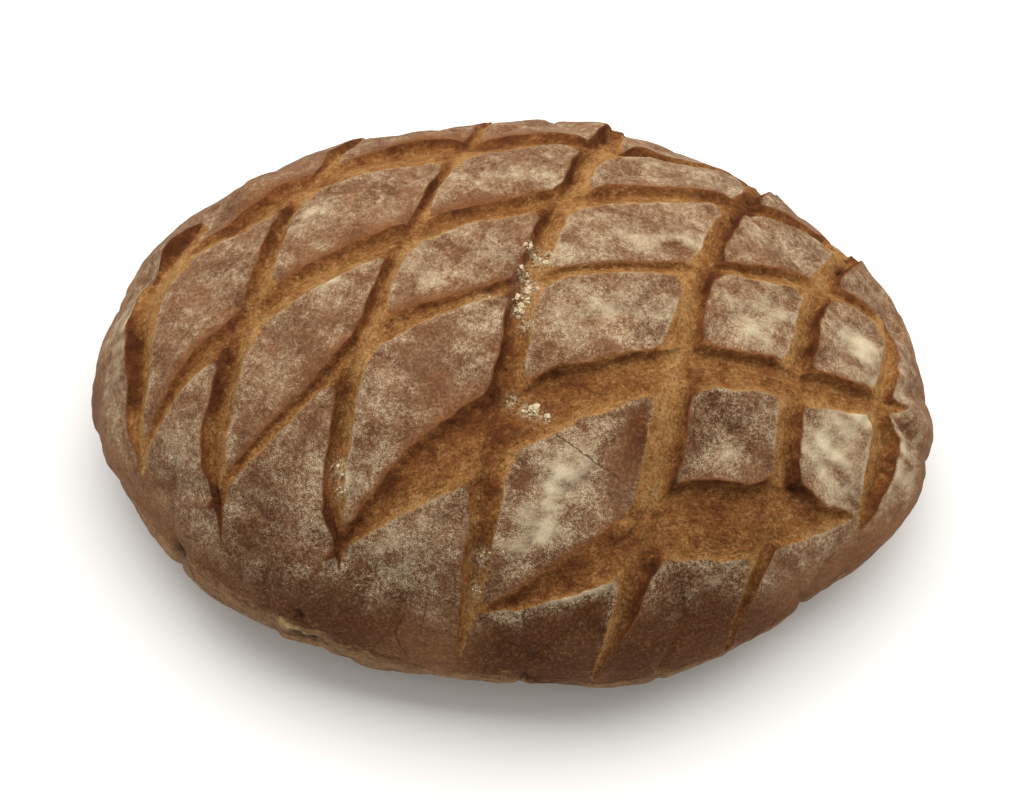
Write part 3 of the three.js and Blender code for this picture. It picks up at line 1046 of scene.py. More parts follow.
class Nodes:
    """A new material's node tree, with one method that adds any node."""

    NOISE_MIDDLE = 0.5
    NOISE_SPREAD = 4  # brings the noise to about -1 to 1
    NOISE_ROUGHNESS = 0.6

    def __init__(self, name: str) -> None:
        """Start the material with its Principled shader."""
        self.material = bpy.data.materials.new(name)
        self.material.use_nodes = True
        self.tree = self.material.node_tree
        self.shader = self.tree.nodes["Principled BSDF"]
        self.place = self.add("ShaderNodeTexCoord", {}, {}).outputs["Object"]

    def add(self, kind: str, settings: dict, inputs: dict) -> bpy.types.Node:
        """Add a node.

        Args:
            kind: The node's type.
            settings: Its own settings, such as an operation, and stops for a ramp. They are set first.
            inputs: The value or link of each socket, by the socket's name or number.

        Returns:
            The new node.
        """
        node = self.tree.nodes.new(kind)
        for name, value in settings.items():
            if name == "stops":
                self.fill_ramp(node.color_ramp, value)
            else:
                setattr(node, name, value)
        for key, value in inputs.items():
            self.feed(node.inputs[key], value)
        return node

    @staticmethod
    def fill_ramp(ramp: bpy.types.ColorRamp, stops: tuple) -> None:
        """Give a ramp its stops.

        Args:
            ramp: A new ramp, which has two stops.
            stops: A place and a colour for each stop.
        """
        for place, _ in stops[2:]:
            ramp.elements.new(place)
        for element, (place, colour) in zip(ramp.elements, stops):
            element.position = place
            element.color = (*colour, 1)

    def feed(self, socket: bpy.types.NodeSocket, value: object) -> None:
        """Link a socket or set it.

        Args:
            socket: The socket to feed.
            value: A signal or a socket to link to it, or its value.
        """
        if isinstance(value, Signal):
            self.tree.links.new(value.socket, socket)
        elif isinstance(value, bpy.types.NodeSocket):
            self.tree.links.new(value, socket)
        else:
            socket.default_value = value

    def attribute(self, name: str) -> Signal:
        """Return the number that the mesh holds under this name."""
        return Signal(self, self.add("ShaderNodeAttribute", {"attribute_name": name}, {}).outputs["Fac"])

    def noise(
        self,
        size: float,
        detail: float = 2,
        squash: Triple = (1, 1, 1),
        place: bpy.types.NodeSocket | None = None,
    ) -> Signal:
        """Return noise of about -1 to 1.

        Args:
            size: Size of its lumps in millimetres.
            detail: How many finer layers it has.
            squash: Factors along X, Y and Z that squeeze its lumps.
            place: Where to read the noise, the place on the piece if it isn't given.

        Returns:
            The noise.
        """
        place = place or self.place
        if squash != (1, 1, 1):
            place = self.add("ShaderNodeMapping", {}, {"Vector": place, "Scale": squash}).outputs[0]
        inputs = {"Vector": place, "Scale": 1 / (size * MM)}
        inputs |= {"Detail": detail, "Roughness": self.NOISE_ROUGHNESS}
        node = self.add("ShaderNodeTexNoise", {"noise_dimensions": "3D"}, inputs)
        return (Signal(self, node.outputs[0]) - self.NOISE_MIDDLE) * self.NOISE_SPREAD

    def mix(self, share: Signal | float, first: object, second: object) -> bpy.types.NodeSocket:
        """Return a blend of two colours.

        Args:
            share: How much of the second colour it has, from 0 to 1.
            first: The first colour, or a socket that gives it.
            second: The second one.

        Returns:
            The socket of the blend.
        """
        node = self.add("ShaderNodeMix", {"data_type": "RGBA"}, {0: share})
        first_socket, second_socket = (socket for socket in node.inputs if socket.type == "RGBA")
        for socket, colour in ((first_socket, first), (second_socket, second)):
            self.feed(socket, (*colour, 1) if isinstance(colour, tuple) else colour)
        return next(socket for socket in node.outputs if socket.type == "RGBA")

    def shade(self, colour: object, factor: Signal) -> bpy.types.NodeSocket:
        """Return a colour made lighter or darker by a factor."""
        node = self.add("ShaderNodeVectorMath", {"operation": "SCALE"}, {0: colour, "Scale": factor})
        return node.outputs[0]


# ---- Finishes ----


@dataclass(frozen=True)
class Texture:
    """The noises of the crust, from fine to coarse, and the streaks where it has them."""

    speck: Signal
    grit: Signal
    mottle: Signal
    cloud: Signal
    streak: Signal | None = None

    def blend(self, **weights: float) -> Signal:
        """Return the sum of the noises that are named, each times its weight."""
        first, *others = (getattr(self, name) * weight for name, weight in weights.items())
        return sum(others, first)


@dataclass(frozen=True)
class Strands:
    """Pale strands of torn crumb, which lie where a noise passes zero."""

    size: float
    detail: float
    line: tuple[float, float]  # how far from zero a strand ends, and how near it is whole
    strength: float
    squash: Triple = (1, 1, 1)

    def lines(self, nodes: Nodes, place: bpy.types.NodeSocket) -> Signal:
        """Return how much of each place the strands cover."""
        return abs(nodes.noise(self.size, self.detail, self.squash, place)).step(*self.line) * self.strength


@dataclass(frozen=True)
class CrustFinish:
    """The finish of the loaf: baked crust, flour, and torn crumb. Pairs of numbers are the ends of steps."""

    name: str = "baked_crust"
    crust: Triple = (0.16, 0.068, 0.031)
    # Darker crust, which along the front is also painted shade.
    toasted_and_shaded: Triple = (0.078, 0.025, 0.008)
    baked: Triple = (0.165, 0.06, 0.02)
    side: Triple = (0.19, 0.082, 0.034)
    rim: Triple = (0.245, 0.138, 0.066)
    hollow: Triple = (0.05, 0.02, 0.009)
    torn: Triple = (0.5, 0.36, 0.15)
    thin_flour: Triple = (0.43, 0.325, 0.2)
    thick_flour: Triple = (0.57, 0.475, 0.316)
    bright_crumb: Triple = (0.4, 0.225, 0.09)
    # Torn crumb across a cut, from its low edge to its lip; the dark end is partly painted shade under the
    # lip.
    crumb_stops: tuple = (
        (0.0, (0.325, 0.168, 0.058)),
        (0.25, (0.24, 0.102, 0.028)),
        (0.55, (0.17, 0.063, 0.018)),
        (0.78, (0.115, 0.038, 0.012)),
        (1.0, (0.072, 0.023, 0.008)),
    )
    # Sizes of the noises, in millimetres, and the squeeze of the streaks along X, Y and Z.
    speck_size: float = 0.36
    grit_size: float = 1.1
    mottle_size: float = 2.6
    cloud_size: float = 10
    skin_streak_size: float = 3
    skin_streak_squash: Triple = (0.35, 0.35, 1.6)
    crumb_streak_size: float = 1.2
    crumb_streak_squash: Triple = (1, 0.13, 1)
    drawn_strands: Strands = Strands(1.5, 1, (0.24, 0.03), 1.1, (1, 0.16, 1))
    matted_strands: Strands = Strands(3.2, 2, (0.14, 0.02), 0.8)
    strand_grit: tuple[float, float] = (-0.8, 0.6)  # the strands show in the grit
    strand_tone: tuple[float, float] = (0.8, 0.15)  # and fade where the crumb is dark
    strand_share: float = 0.62
    first_flour: tuple[float, float] = (-0.02, 0.25)  # flour from which the cover is speckled
    closed_flour: tuple[float, float] = (0, 0.75)  # and flour over which it closes up again
    speckling: float = 1.15  # how much of the noises the cover has at first
    closing: float = 0.85  # and how much of that it loses
    thick_cover: tuple[float, float] = (0.2, 0.8)
    dusted: tuple[float, float] = (0, 0.2)
    rim_step: tuple[float, float] = (0.3, 1.0)
    rim_share: float = 0.8
    crack_line: tuple[float, float] = (0.65, 0.2)
    crack_share: float = 0.8
    edge_blur: float = 0.35  # how far either way the crust passes into the torn crumb, in millimetres
    bump_height: float = 0.35
    bump_strength: float = 0.9
    plate_bump: float = 0.4  # bump of the crust between the cuts, as a share of the crumb's
    least_grit: float = 0.5  # of the grit where the crust has no grain at all
    roughness: float = 0.6
    dry_roughness: float = 0.3  # what flour and torn crumb add to it
    dry: tuple[float, float] = (0, 0.5)  # their cover over which they add it
    gloss: float = 0.05

    def make(self) -> bpy.types.Material:
        """Build the material.

        Returns:
            The material, with all its nodes.
        """
        nodes = Nodes(self.name)
        grain = nodes.attribute("grain")
        texture = Texture(
            speck=nodes.noise(self.speck_size) * grain,
            grit=nodes.noise(self.grit_size) * (grain * (1 - self.least_grit) + self.least_grit),
            mottle=nodes.noise(self.mottle_size, detail=3),
            cloud=nodes.noise(self.cloud_size, detail=3),
        )
        cover = self.flour_cover(nodes, texture)
        flour = nodes.mix(cover.step(*self.thick_cover), self.thin_flour, self.thick_flour)
        plate = nodes.mix(cover, self.bare_skin(nodes, texture), flour)
        ragged = nodes.attribute("opened") + texture.blend(speck=0.2, grit=0.2)
        opened = ragged.step(-self.edge_blur, self.edge_blur)
        colour = nodes.mix(opened, plate, self.torn_crumb(nodes, texture))
        colour = nodes.mix(self.cracks(nodes, texture), colour, self.hollow)
        rough = texture.blend(speck=0.45, grit=0.55) * (self.plate_bump + opened * (1 - self.plate_bump))
        inputs = {"Height": rough, "Distance": self.bump_height * MM, "Strength": self.bump_strength}
        bump = nodes.add("ShaderNodeBump", {}, inputs)
        dry = (cover + opened).step(*self.dry) * self.dry_roughness
        nodes.feed(nodes.shader.inputs["Base Color"], colour)
        nodes.feed(nodes.shader.inputs["Roughness"], self.roughness + dry)
        nodes.feed(nodes.shader.inputs["Normal"], bump.outputs[0])
        nodes.shader.inputs["Specular IOR Level"].default_value = self.gloss
        return nodes.material

    def bare_skin(self, nodes: Nodes, texture: Texture) -> bpy.types.NodeSocket:
        """Colour the crust under the flour.

        Args:
            nodes: The material's nodes.
            texture: Its noises.

        Returns:
            The socket of the colour.
        """
        streak = nodes.noise(self.skin_streak_size, 3, self.skin_streak_squash)
        texture = replace(texture, streak=streak)
        toast_and_shade = nodes.attribute("toast_and_shade") + texture.blend(cloud=0.15, mottle=0.12)
        rim = nodes.attribute("rim") + texture.blend(mottle=0.25, streak=0.3)
        skin = nodes.mix(nodes.attribute("side"), self.crust, self.side)
        skin = nodes.mix(toast_and_shade.step(0, 1), skin, self.toasted_and_shaded)
        skin = nodes.mix(nodes.attribute("baked"), skin, self.baked)
        skin = nodes.mix(rim.step(*self.rim_step) * self.rim_share, skin, self.rim)
        skin = nodes.mix(nodes.attribute("torn") + texture.blend(grit=0.1), skin, self.torn)
        uneven = 1 + texture.blend(streak=0.16, speck=0.1, grit=0.18, mottle=0.13, cloud=0.2)
        return nodes.shade(skin, uneven * (1 - nodes.attribute("shade")))

    def flour_cover(self, nodes: Nodes, texture: Texture) -> Signal:
        """Work out how much of the crust the flour hides.

        Args:
            nodes: The material's nodes.
            texture: Its noises.

        Returns:
            The share, from 0 to 1.
        """
        flour = nodes.attribute("flour")
        uneven = texture.blend(speck=0.52, grit=0.26, mottle=0.26, cloud=0.28)
        uneven *= flour.step(*self.first_flour)
        return flour + uneven * (self.speckling - flour.step(*self.closed_flour) * self.closing)

    def torn_crumb(self, nodes: Nodes, texture: Texture) -> bpy.types.NodeSocket:
        """Colour the torn crumb in the cuts, drawn out into streaks along them.

        Args:
            nodes: The material's nodes.
            texture: Its noises.

        Returns:
            The socket of the colour.
        """
        inputs = {"X": nodes.attribute("across"), "Y": nodes.attribute("along")}
        place = nodes.add("ShaderNodeCombineXYZ", {}, inputs).outputs[0]
        streak = nodes.noise(self.crumb_streak_size, 3, self.crumb_streak_squash, place)
        texture = replace(texture, streak=streak)
        tone_and_shade = nodes.attribute("tone_and_shade") + texture.blend(mottle=0.2, cloud=0.3, streak=0.22)
        uneven = 1 + texture.blend(speck=0.36, grit=0.32, streak=0.45)
        crumb = nodes.shade(tone_and_shade.ramp(*self.crumb_stops), uneven)
        strands = self.drawn_strands.lines(nodes, place) + self.matted_strands.lines(nodes, nodes.place)
        strands *= texture.grit.step(*self.strand_grit) * tone_and_shade.step(*self.strand_tone) * self.strand_share
        crumb = nodes.mix(strands, crumb, self.bright_crumb)
        dust = nodes.attribute("dust")
        specks = texture.blend(speck=0.5, grit=0.5, mottle=0.3) * dust.step(*self.dusted)
        return nodes.mix(dust + specks, crumb, self.thick_flour)

    def cracks(self, nodes: Nodes, texture: Texture) -> Signal:
        """Work out how dark the cracks make each place.

        Args:
            nodes: The material's nodes.
            texture: Its noises.

        Returns:
            The share of the cracks' own colour, from 0 to 1.
        """
        wandering = nodes.attribute("crack") + texture.blend(mottle=0.9, grit=0.3)
        return abs(wandering).step(*self.crack_line) * nodes.attribute("cracked") * self.crack_share


@dataclass(frozen=True)
class FlourFinish:
    """The finish of loose lumps of flour."""

    name: str = "loose_flour"
    colour: Triple = (0.6, 0.5, 0.33)
    shadow: Triple = (0.38, 0.28, 0.16)
    speck_size: float = 0.8
    lit: tuple[float, float] = (-1, 0.6)  # specks between which the shadow's colour passes into the flour's
    roughness: float = 0.9
    uneven_roughness: float = 0.05
    gloss: float = 0.2

    def make(self) -> bpy.types.Material:
        """Build the material.

        Returns:
            The material, with all its nodes.
        """
        nodes = Nodes(self.name)
        speck = nodes.noise(self.speck_size)
        colour = nodes.mix(speck.step(*self.lit), self.shadow, self.colour)
        nodes.feed(nodes.shader.inputs["Base Color"], colour)
        nodes.feed(nodes.shader.inputs["Roughness"], self.roughness + speck * self.uneven_roughness)
        nodes.shader.inputs["Specular IOR Level"].default_value = self.gloss
        return nodes.material


@dataclass(frozen=True)
class FloorFinish:
    """The finish of the pale floor."""

    name: str = "pale_floor"
    colour: Triple = (0.84, 0.84, 0.83)
    patch_size: float = 60
    unevenness: float = 0.004
    roughness: float = 0.9
    gloss: float = 0.1

    def make(self) -> bpy.types.Material:
        """Build the material.

        Returns:
            The material, with all its nodes.
        """
        nodes = Nodes(self.name)
        uneven = 1 + nodes.noise(self.patch_size) * self.unevenness
        nodes.feed(nodes.shader.inputs["Base Color"], nodes.shade(self.colour, uneven))
        nodes.shader.inputs["Roughness"].default_value = self.roughness
        nodes.shader.inputs["Specular IOR Level"].default_value = self.gloss
        return nodes.material


# ---- The pieces ----


def points_of(mesh: bpy.types.Mesh) -> np.ndarray:
    """Read a mesh's corners.

    Args:
        mesh: The mesh.

    Returns:
        The place of each corner, one a row, in the mesh's own units.
    """
    flat = np.empty(len(mesh.vertices) * 3)
    mesh.vertices.foreach_get("co", flat)
    return flat.reshape(-1, 3)


def put_points(mesh: bpy.types.Mesh, points: np.ndarray) -> None:
    """Move the mesh's corners to places given in millimetres."""
    mesh.vertices.foreach_set("co", (points * MM).ravel())
    mesh.update()


def normals_of(mesh: bpy.types.Mesh) -> np.ndarray:
    """Read a mesh's outward directions.

    Args:
        mesh: The mesh.

    Returns:
        The direction at each corner, one a row.
    """
    flat = np.empty(len(mesh.vertices) * 3, np.float32)
    mesh.vertex_normals.foreach_get("vector", flat)
    return flat.reshape(-1, 3).astype(float)


def finished_mesh(bm: bmesh.types.BMesh, name: str) -> bpy.types.Mesh:
    """Turn a bmesh into a mesh.

    Args:
        bm: The bmesh, which is freed.
        name: The mesh's name.

    Returns:
        The mesh.
    """
    mesh = bpy.data.meshes.new(name)
    bm.to_mesh(mesh)
    bm.free()
    return mesh


def placed(name: str, data: bpy.types.ID) -> bpy.types.Object:
    """Put something into the scene.

    Args:
        name: Its name.
        data: Its mesh, light or camera.

    Returns:
        The new object.
    """
    item = bpy.data.objects.new(name, data)
    bpy.context.collection.objects.link(item)
    return item


@dataclass
class Loaf:
    """The crust of the loaf, as one closed mesh that stands for its solid."""

    form: LoafForm = field(default_factory=LoafForm)
    finish: CrustFinish = field(default_factory=CrustFinish)
    sheet_faces: int = 177  # faces along each side of the sheet that is laid over the loaf
    # Near the cuts the faces are halved, once for each band. These are how far behind the lip a band starts
    # and how far inside it ends.
    fine_bands: tuple[tuple[float, float], ...] = ((0.9, 4.2), (0.5, 2.2))
    wide_band: float = 4  # a band that ends farther inside the lip than this refines the low edges too
    narrowest_refined: float = 0.7  # half width of a cut under which its faces aren't halved
    rim_steps: tuple[float, ...] = (1.2, 9)  # how far inside the rim the base has its next edges

    def __post_init__(self) -> None:
        """Lay the cuts."""
        self.cuts = [LaidCut(self.form, cut) for cut in CUTS]

    def sheet(self) -> tuple[bpy.types.Mesh, np.ndarray, np.ndarray]:
        """Make the closed mesh, still flat.

        Returns:
            The mesh, the place of each corner on the sheet and how many rings inside the base's rim it is.
        """
        bm = bmesh.new()
        bmesh.ops.create_grid(bm, x_segments=self.sheet_faces, y_segments=self.sheet_faces, size=1)
        for behind, within in self.fine_bands:
            self.refine(bm, behind, within)
        for _ in self.rim_steps:
            rim = [edge for edge in bm.edges if edge.is_boundary]
            ring = bmesh.ops.extrude_edge_only(bm, edges=rim)["geom"]
            corners = [item for item in ring if isinstance(item, bmesh.types.BMVert)]
            bmesh.ops.translate(bm, verts=corners, vec=(0, 0, -1))
        bmesh.ops.holes_fill(bm, edges=[edge for edge in bm.edges if edge.is_boundary], sides=0)
        bmesh.ops.recalc_face_normals(bm, faces=bm.faces)
        for face in bm.faces:
            face.smooth = True
        mesh = finished_mesh(bm, "loaf_crust")
        flat = points_of(mesh)
        return mesh, flat[:, :2], np.rint(-flat[:, 2]).astype(int)

    def refine(self, bm: bmesh.types.BMesh, behind: float, within: float) -> None:
        """Halve the sheet's faces in a band along every lip, and along the low edges where the band is wide.

        Args:
            bm: The flat sheet.
            behind: How far outside the cuts the band starts, in millimetres.
            within: How far inside the lips it ends.
        """
        points = self.form.drape(np.array([corner.co[:2] for corner in bm.verts]))
        chosen = np.zeros(len(points), bool)
        for cut in self.cuts:
            read = cut.measure(points)
            to_lip = read.offset * cut.cut.lip.sign
            near = (read.gap < behind) & (read.half_width - to_lip < within)
            if within > self.wide_band:
                near |= (np.abs(read.gap) < behind) & (to_lip < 0)
            chosen |= near & (read.half_width > self.narrowest_refined)
        faces = {face for corner in itertools.compress(bm.verts, chosen) for face in corner.link_faces}
        edges = list({edge for face in faces for edge in face.edges})
        bmesh.ops.subdivide_edges(bm, edges=edges, cuts=1, use_grid_fill=True)

    def make(self) -> tuple[bpy.types.Object, CrustRelief]:
        """Build the crust.

        Returns:
            The finished piece, and the relief that shaped it.
        """
        mesh, sheet, ring = self.sheet()
        points = self.form.drape(sheet)
        inward = np.concatenate([[0], self.rim_steps])[ring]
        flat = ring > 0
        points[flat, :2] -= unit(points[flat, :2]) * inward[flat, None]
        points[flat, 2] = 0
        put_points(mesh, points)
        relief = CrustRelief(self.form, self.cuts, points, normals_of(mesh), flat)
        put_points(mesh, relief.moved())
        for name, values in relief.fields().items():
            mesh.attributes.new(name, "FLOAT", "POINT").data.foreach_set("value", values.astype(np.float32))
        mesh.materials.append(self.finish.make())
        return placed("loaf_crust", mesh), relief


class Seed(Enum):
    """The random fields of the crust, each with the seed of its draw."""

    COARSE = 11
    MEDIUM = 12
    FINE = 13
    TINT = 14


@dataclass(frozen=True)
class Layer:
    """A layer of unevenness: a random field, the size of its lumps in millimetres and its amount."""

    seed: Seed
    size: float | Triple
    amount: float = 1


class CrustRelief:
    """What the cuts, the flour and the baking did to each point of the smooth loaf."""

    # The cuts, their edges and their corners. Pairs are the ends of steps.
    RIGHT_SIDE = (-6, 20)  # between these along X the cuts pass into their right profile
    RIGHT_WANDER = (Layer(Seed.COARSE, 20, 8),)
    UNEVEN_WIDTH = (Layer(Seed.TINT, 11, 0.13),)
    RAGGED_EDGE = (Layer(Seed.COARSE, 13, 0.9), Layer(Seed.MEDIUM, 5.5, 0.6), Layer(Seed.FINE, 2.4, 0.22))
    RAGGED_SHARE = 0.3  # of the raggedness, for each millimetre of half width
    CORNER_ROUND = 2.0  # how much the corners of the crust between the cuts are rounded
    CORNER_SINK = 1.3  # and how far they sink, as a share of that
    SHARE_REACH = 1.5  # over which one cut's crumb passes into another's
    CLOSED_END = 0.9  # how far the torn crumb keeps off the edges at the end of a cut
    CLOSING = (0.4, 2.2)  # half widths between which the end closes up
    LEAST_RECESS = 0.2  # share of a recess that is left away from the lips
    RECESS_LIP = (0.05, 0.5)  # nearness to a lip over which it gets its whole depth

    # The relief inside and outside the cuts, by how far inside a point is, and on the side, by its height.
    CRUST_INTO_CUT = 2.2
    CRUMB_FROM = 1.0
    RECESS_FROM = 1.5
    RECESS_DEPTH = 1.2
    SLIT_DEPTH = 1.2
    CRUMB = (Layer(Seed.MEDIUM, 3.6, 0.4), Layer(Seed.FINE, 2.1, 0.25))
    SKIN = (Layer(Seed.COARSE, 9, 0.3), Layer(Seed.FINE, 3.2, 0.14))
    ROUGH_SKIN = (Layer(Seed.MEDIUM, 5.5),)
    WRINKLES = (Layer(Seed.MEDIUM, (18, 18, 5), 0.8), Layer(Seed.COARSE, (9, 9, 5), 0.45))
    WRINKLED_FROM = (2, 8)
    WRINKLED_TO = (26, 44)
    FOLDS = (Layer(Seed.TINT, (26, 26, 9)), Layer(Seed.MEDIUM, 7, 0.3))
    CREASE_WIDTH = 0.12
    CREASE_DEPTH = 0.5

    # The flour.
    BASE_LEVEL = 0.17  # where no patch adds to it
    LEVEL_SLOPE = 0.0003  # what each millimetre to the right adds
    LEVEL = (Layer(Seed.TINT, 22, 0.06),)
    DRIFT_SIZE = 12
    DRIFT = 3.5  # how far the patches' edges wander
    BRUSH_SIZE = (15, 4, 15)
    BRUSHED = 0.7
    STREWN = (Layer(Seed.COARSE, 8, 0.5), Layer(Seed.MEDIUM, 3.8, 0.4))
    SPOTS = (Layer(Seed.MEDIUM, 6, 0.05),)
    FRONT_GAP = 0.55  # width of the bare gap behind the lips at the front, as a share of that at the back
    FRONT_TO_BACK = (-75, 5)
    UNEVEN_GAP = (Layer(Seed.COARSE, 10, 0.5),)
    UNEVEN_LOW_LINE = (Layer(Seed.COARSE, 16, 0.8),)
    LOWEST = 52  # height down to which the flour lies
    UNEVEN_LOWEST = (Layer(Seed.TINT, 30, 6), Layer(Seed.COARSE, 12, 3))
    ENDS = 65  # from the middle, past which it reaches lower
    ENDS_SLOPE = 0.12
    LOWEST_FADE = (-9, 10)
    MOST_FLOUR = 1.1

    # What the crust's material reads.
    OPENED_REACH = 3
    # Painted shade of the crumb in the hollows of the cuts.
    RECESS_SHADE = 0.26
    TOAST_LEVEL = 0.25
    TOAST = (Layer(Seed.TINT, 28, 0.35),)
    PIT_SHADE = 0.35
    CREASE_SHADE = 0.4
    CREASED_TO = (24, 40)
    DEEPEST_SHADE = 0.92
    GRAIN_LEVEL = 0.9
    GRAIN_SLOPE = 0.0055  # less grain for each millimetre towards the back
    GRAIN_RANGE = (0.45, 1.4)
    GRAIN_ENDS = (95, 140)
    GRAIN_LOST = 0.45  # at the ends of the loaf
    SIDE = (Layer(Seed.TINT, 25, 5),)
    SIDE_TO = (34, 58)
    RIM = (Layer(Seed.COARSE, 14, 4),)
    RIM_TO = (18, 36)
    TORN = 0.9

    # Lines over the crust.
    PATH_REACH = 8  # a point farther away than this is off the line, whatever its direction
    NO_CRACK = 9.0  # the place across a crack where there is none
    CRACK_FADE = (1.5, 3.5)
    WANDER = (Layer(Seed.MEDIUM, 4, 1.6), Layer(Seed.FINE, 2, 0.8))
    UNEVEN_TEAR = (Layer(Seed.TINT, 6, 0.6),)

    def __init__(
        self, form: LoafForm, cuts: list[LaidCut], points: np.ndarray, normals: np.ndarray, flat: np.ndarray
    ) -> None:
        """Measure every cut at every point.

        Args:
            form: The smooth loaf.
            cuts: The cuts on it.
            points: Places on it, in millimetres.
            normals: Outward directions there.
            flat: Which of the points belong to the flat base.
        """
        self.form = form
        self.cuts = cuts
        self.points = points
        self.normals = normals
        self.flat = flat
        self.grains = {seed: Grain(seed.value) for seed in Seed}
        self.read = self.measured()
        self.rightness = smooth(points[:, 0] + self.uneven(self.RIGHT_WANDER), *self.RIGHT_SIDE)
        signs = np.array([[cut.cut.lip.sign] for cut in self.cuts])
        self.station = self.read.offset * signs / self.read.half_width
        self.towards_lip = self.read.across * signs[:, :, None]
        self.inside = self.read.gap < 0
        self.opened = self.inside.any(axis=0)
        nearest = self.read.gap.min(axis=0)
        self.inset = np.maximum(-nearest, 0)  # how far inside its deepest cut each point is
        spread = np.exp((nearest - self.read.gap) / self.CORNER_ROUND).sum(axis=0)
        self.rounding = self.CORNER_ROUND * np.log(spread)
        width = np.where(self.read.gap == nearest, self.read.half_width, 0).max(axis=0)
        closed = self.CLOSED_END * (1 - smooth(width, *self.CLOSING))
        self.gap = nearest - self.rounding + closed  # how far outside the torn crumb each point is
        crossing = np.array([[cut.cut.profile.crossing_share] for cut in self.cuts])
        self.share = np.exp((nearest - self.read.gap) / self.SHARE_REACH) * crossing
        self.share /= self.share.sum(axis=0)
        near_lip = smooth(self.shared(CutProfile.near_lip), *self.RECESS_LIP)
        self.recessed = total(RECESSES, points) * (self.LEAST_RECESS + (1 - self.LEAST_RECESS) * near_lip)

    def uneven(self, layers: tuple[Layer, ...]) -> np.ndarray:
        """Return the sum of the layers at each point."""
        return sum(layer.amount * self.grains[layer.seed].at(self.points, layer.size) for layer in layers)

    def measured(self) -> CutReading:
        """Read where the points lie from every cut, whose edges are ragged.

        Returns:
            The reading, with one row for each cut.
        """
        readings = [cut.measure(self.points) for cut in self.cuts]
        offset, half_width, along, across = (
            np.array([getattr(reading, name) for reading in readings])
            for name in ("offset", "half_width", "along", "across")
        )
        half_width *= 1 + self.uneven(self.UNEVEN_WIDTH)
        offset += self.uneven(self.RAGGED_EDGE) * np.clip(half_width * self.RAGGED_SHARE, 0, 1)
        return CutReading(offset, half_width, along, across)

    def of_cuts(self, reading: Callable[..., np.ndarray], *more: np.ndarray) -> np.ndarray:
        """Return what a method of the cuts' profiles gives for each cut and point.

        Args:
            reading: The method.
            more: What it takes besides the station and the half width.

        Returns:
            One row for each cut.
        """
        rows = []
        for cut, station, half_width in zip(self.cuts, self.station, self.read.half_width):
            row = reading(cut.cut.profile, station, half_width, *more)
            if cut.cut.right_profile:
                row += (reading(cut.cut.right_profile, station, half_width, *more) - row) * self.rightness
            rows.append(row)
        return np.array(rows)

    def shared(self, reading: Callable[..., np.ndarray]) -> np.ndarray:
        """Return what a method of the profiles gives for each point, shared out where cuts cross."""
        return (self.of_cuts(reading) * self.share).sum(axis=0)

    def height(self) -> np.ndarray:
        """Work out the whole relief.

        Returns:
            How far each point moves along its normal.
        """
        points = self.points
        relief = self.of_cuts(CutProfile.relief)
        floor = np.where(self.inside, relief, np.inf).min(axis=0)
        crust = np.where(self.inside, 0, relief).sum(axis=0) + total(CURLS, points)
        crust -= self.CORNER_SINK * self.rounding
        moved = np.where(self.opened, floor, 0) + crust * (1 - smooth(self.inset, 0, self.CRUST_INTO_CUT))
        moved += self.RECESS_DEPTH * self.recessed * smooth(self.inset, 0, self.RECESS_FROM)
        moved += total(PITS, points) - self.SLIT_DEPTH * self.along_path(SLIT_PATH)
        skin = self.uneven(self.SKIN) + total(ROUGH_PATCHES, points) * self.uneven(self.ROUGH_SKIN)
        moved += skin + (self.uneven(self.CRUMB) - skin) * smooth(self.inset, 0, self.CRUMB_FROM)
        wrinkle = self.uneven(self.WRINKLES) - self.CREASE_DEPTH * self.creases()
        low = smooth(points[:, 2], *self.WRINKLED_FROM) - smooth(points[:, 2], *self.WRINKLED_TO)
        moved += wrinkle * low + total(self.form.lumps, points)
        return np.where(self.flat, 0, moved)

    def creases(self) -> np.ndarray:
        """Return 1 in the creases of the lower crust and 0 away from them."""
        return bell(self.uneven(self.FOLDS) / self.CREASE_WIDTH)

    def moved(self) -> np.ndarray:
        """Move the points, and centre them over the solid's base.

        Returns:
            Their final places, in millimetres.
        """
        lean = np.where(self.opened & ~self.inside, 0, self.of_cuts(CutProfile.lean))
        sideways = -(self.towards_lip * lean[:, :, None]).sum(axis=0)
        sideways[self.flat] = 0
        points = self.points + self.normals * self.height()[:, None] + sideways
        points[:, 2] = np.maximum(points[:, 2], 0)
        low, high = points.min(axis=0), points.max(axis=0)
        wanted = np.array(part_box("loaf")[0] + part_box("loaf")[1]) / 2 / MM
        shift = wanted - (low + high) / 2
        return points + [shift[0], shift[1], 0]

    def flour(self) -> np.ndarray:
        """Work out how much flour lies on each point.

        Returns:
            The amount, from 0 to about 1.
        """
        points = self.points
        wander = [self.grains[seed].at(points, self.DRIFT_SIZE) for seed in (Seed.COARSE, Seed.TINT)]
        drift = np.stack([*wander, np.zeros(len(points))], 1)
        level = self.BASE_LEVEL + self.LEVEL_SLOPE * points[:, 0] + self.uneven(self.LEVEL)
        level += total(FLOUR_PATCHES, points + self.DRIFT * drift)
        brushed = self.grains[Seed.TINT].at(points @ BRUSHING, self.BRUSH_SIZE)
        level *= 1 + self.uneven(self.STREWN) + self.BRUSHED * brushed
        level += self.uneven(self.SPOTS)
        gap = self.FRONT_GAP + (1 - self.FRONT_GAP) * smooth(points[:, 1], *self.FRONT_TO_BACK)
        level *= self.of_cuts(CutProfile.flour_kept, gap + self.uneven(self.UNEVEN_GAP)).prod(axis=0)
        low_line = self.of_cuts(CutProfile.low_line).sum(axis=0)
        level += low_line * (1 + self.uneven(self.UNEVEN_LOW_LINE))
        lowest = self.LOWEST + self.uneven(self.UNEVEN_LOWEST)
        lowest -= self.ENDS_SLOPE * np.maximum(np.abs(points[:, 0]) - self.ENDS, 0)
        return np.clip(level * smooth(points[:, 2] - lowest, *self.LOWEST_FADE), 0, self.MOST_FLOUR)

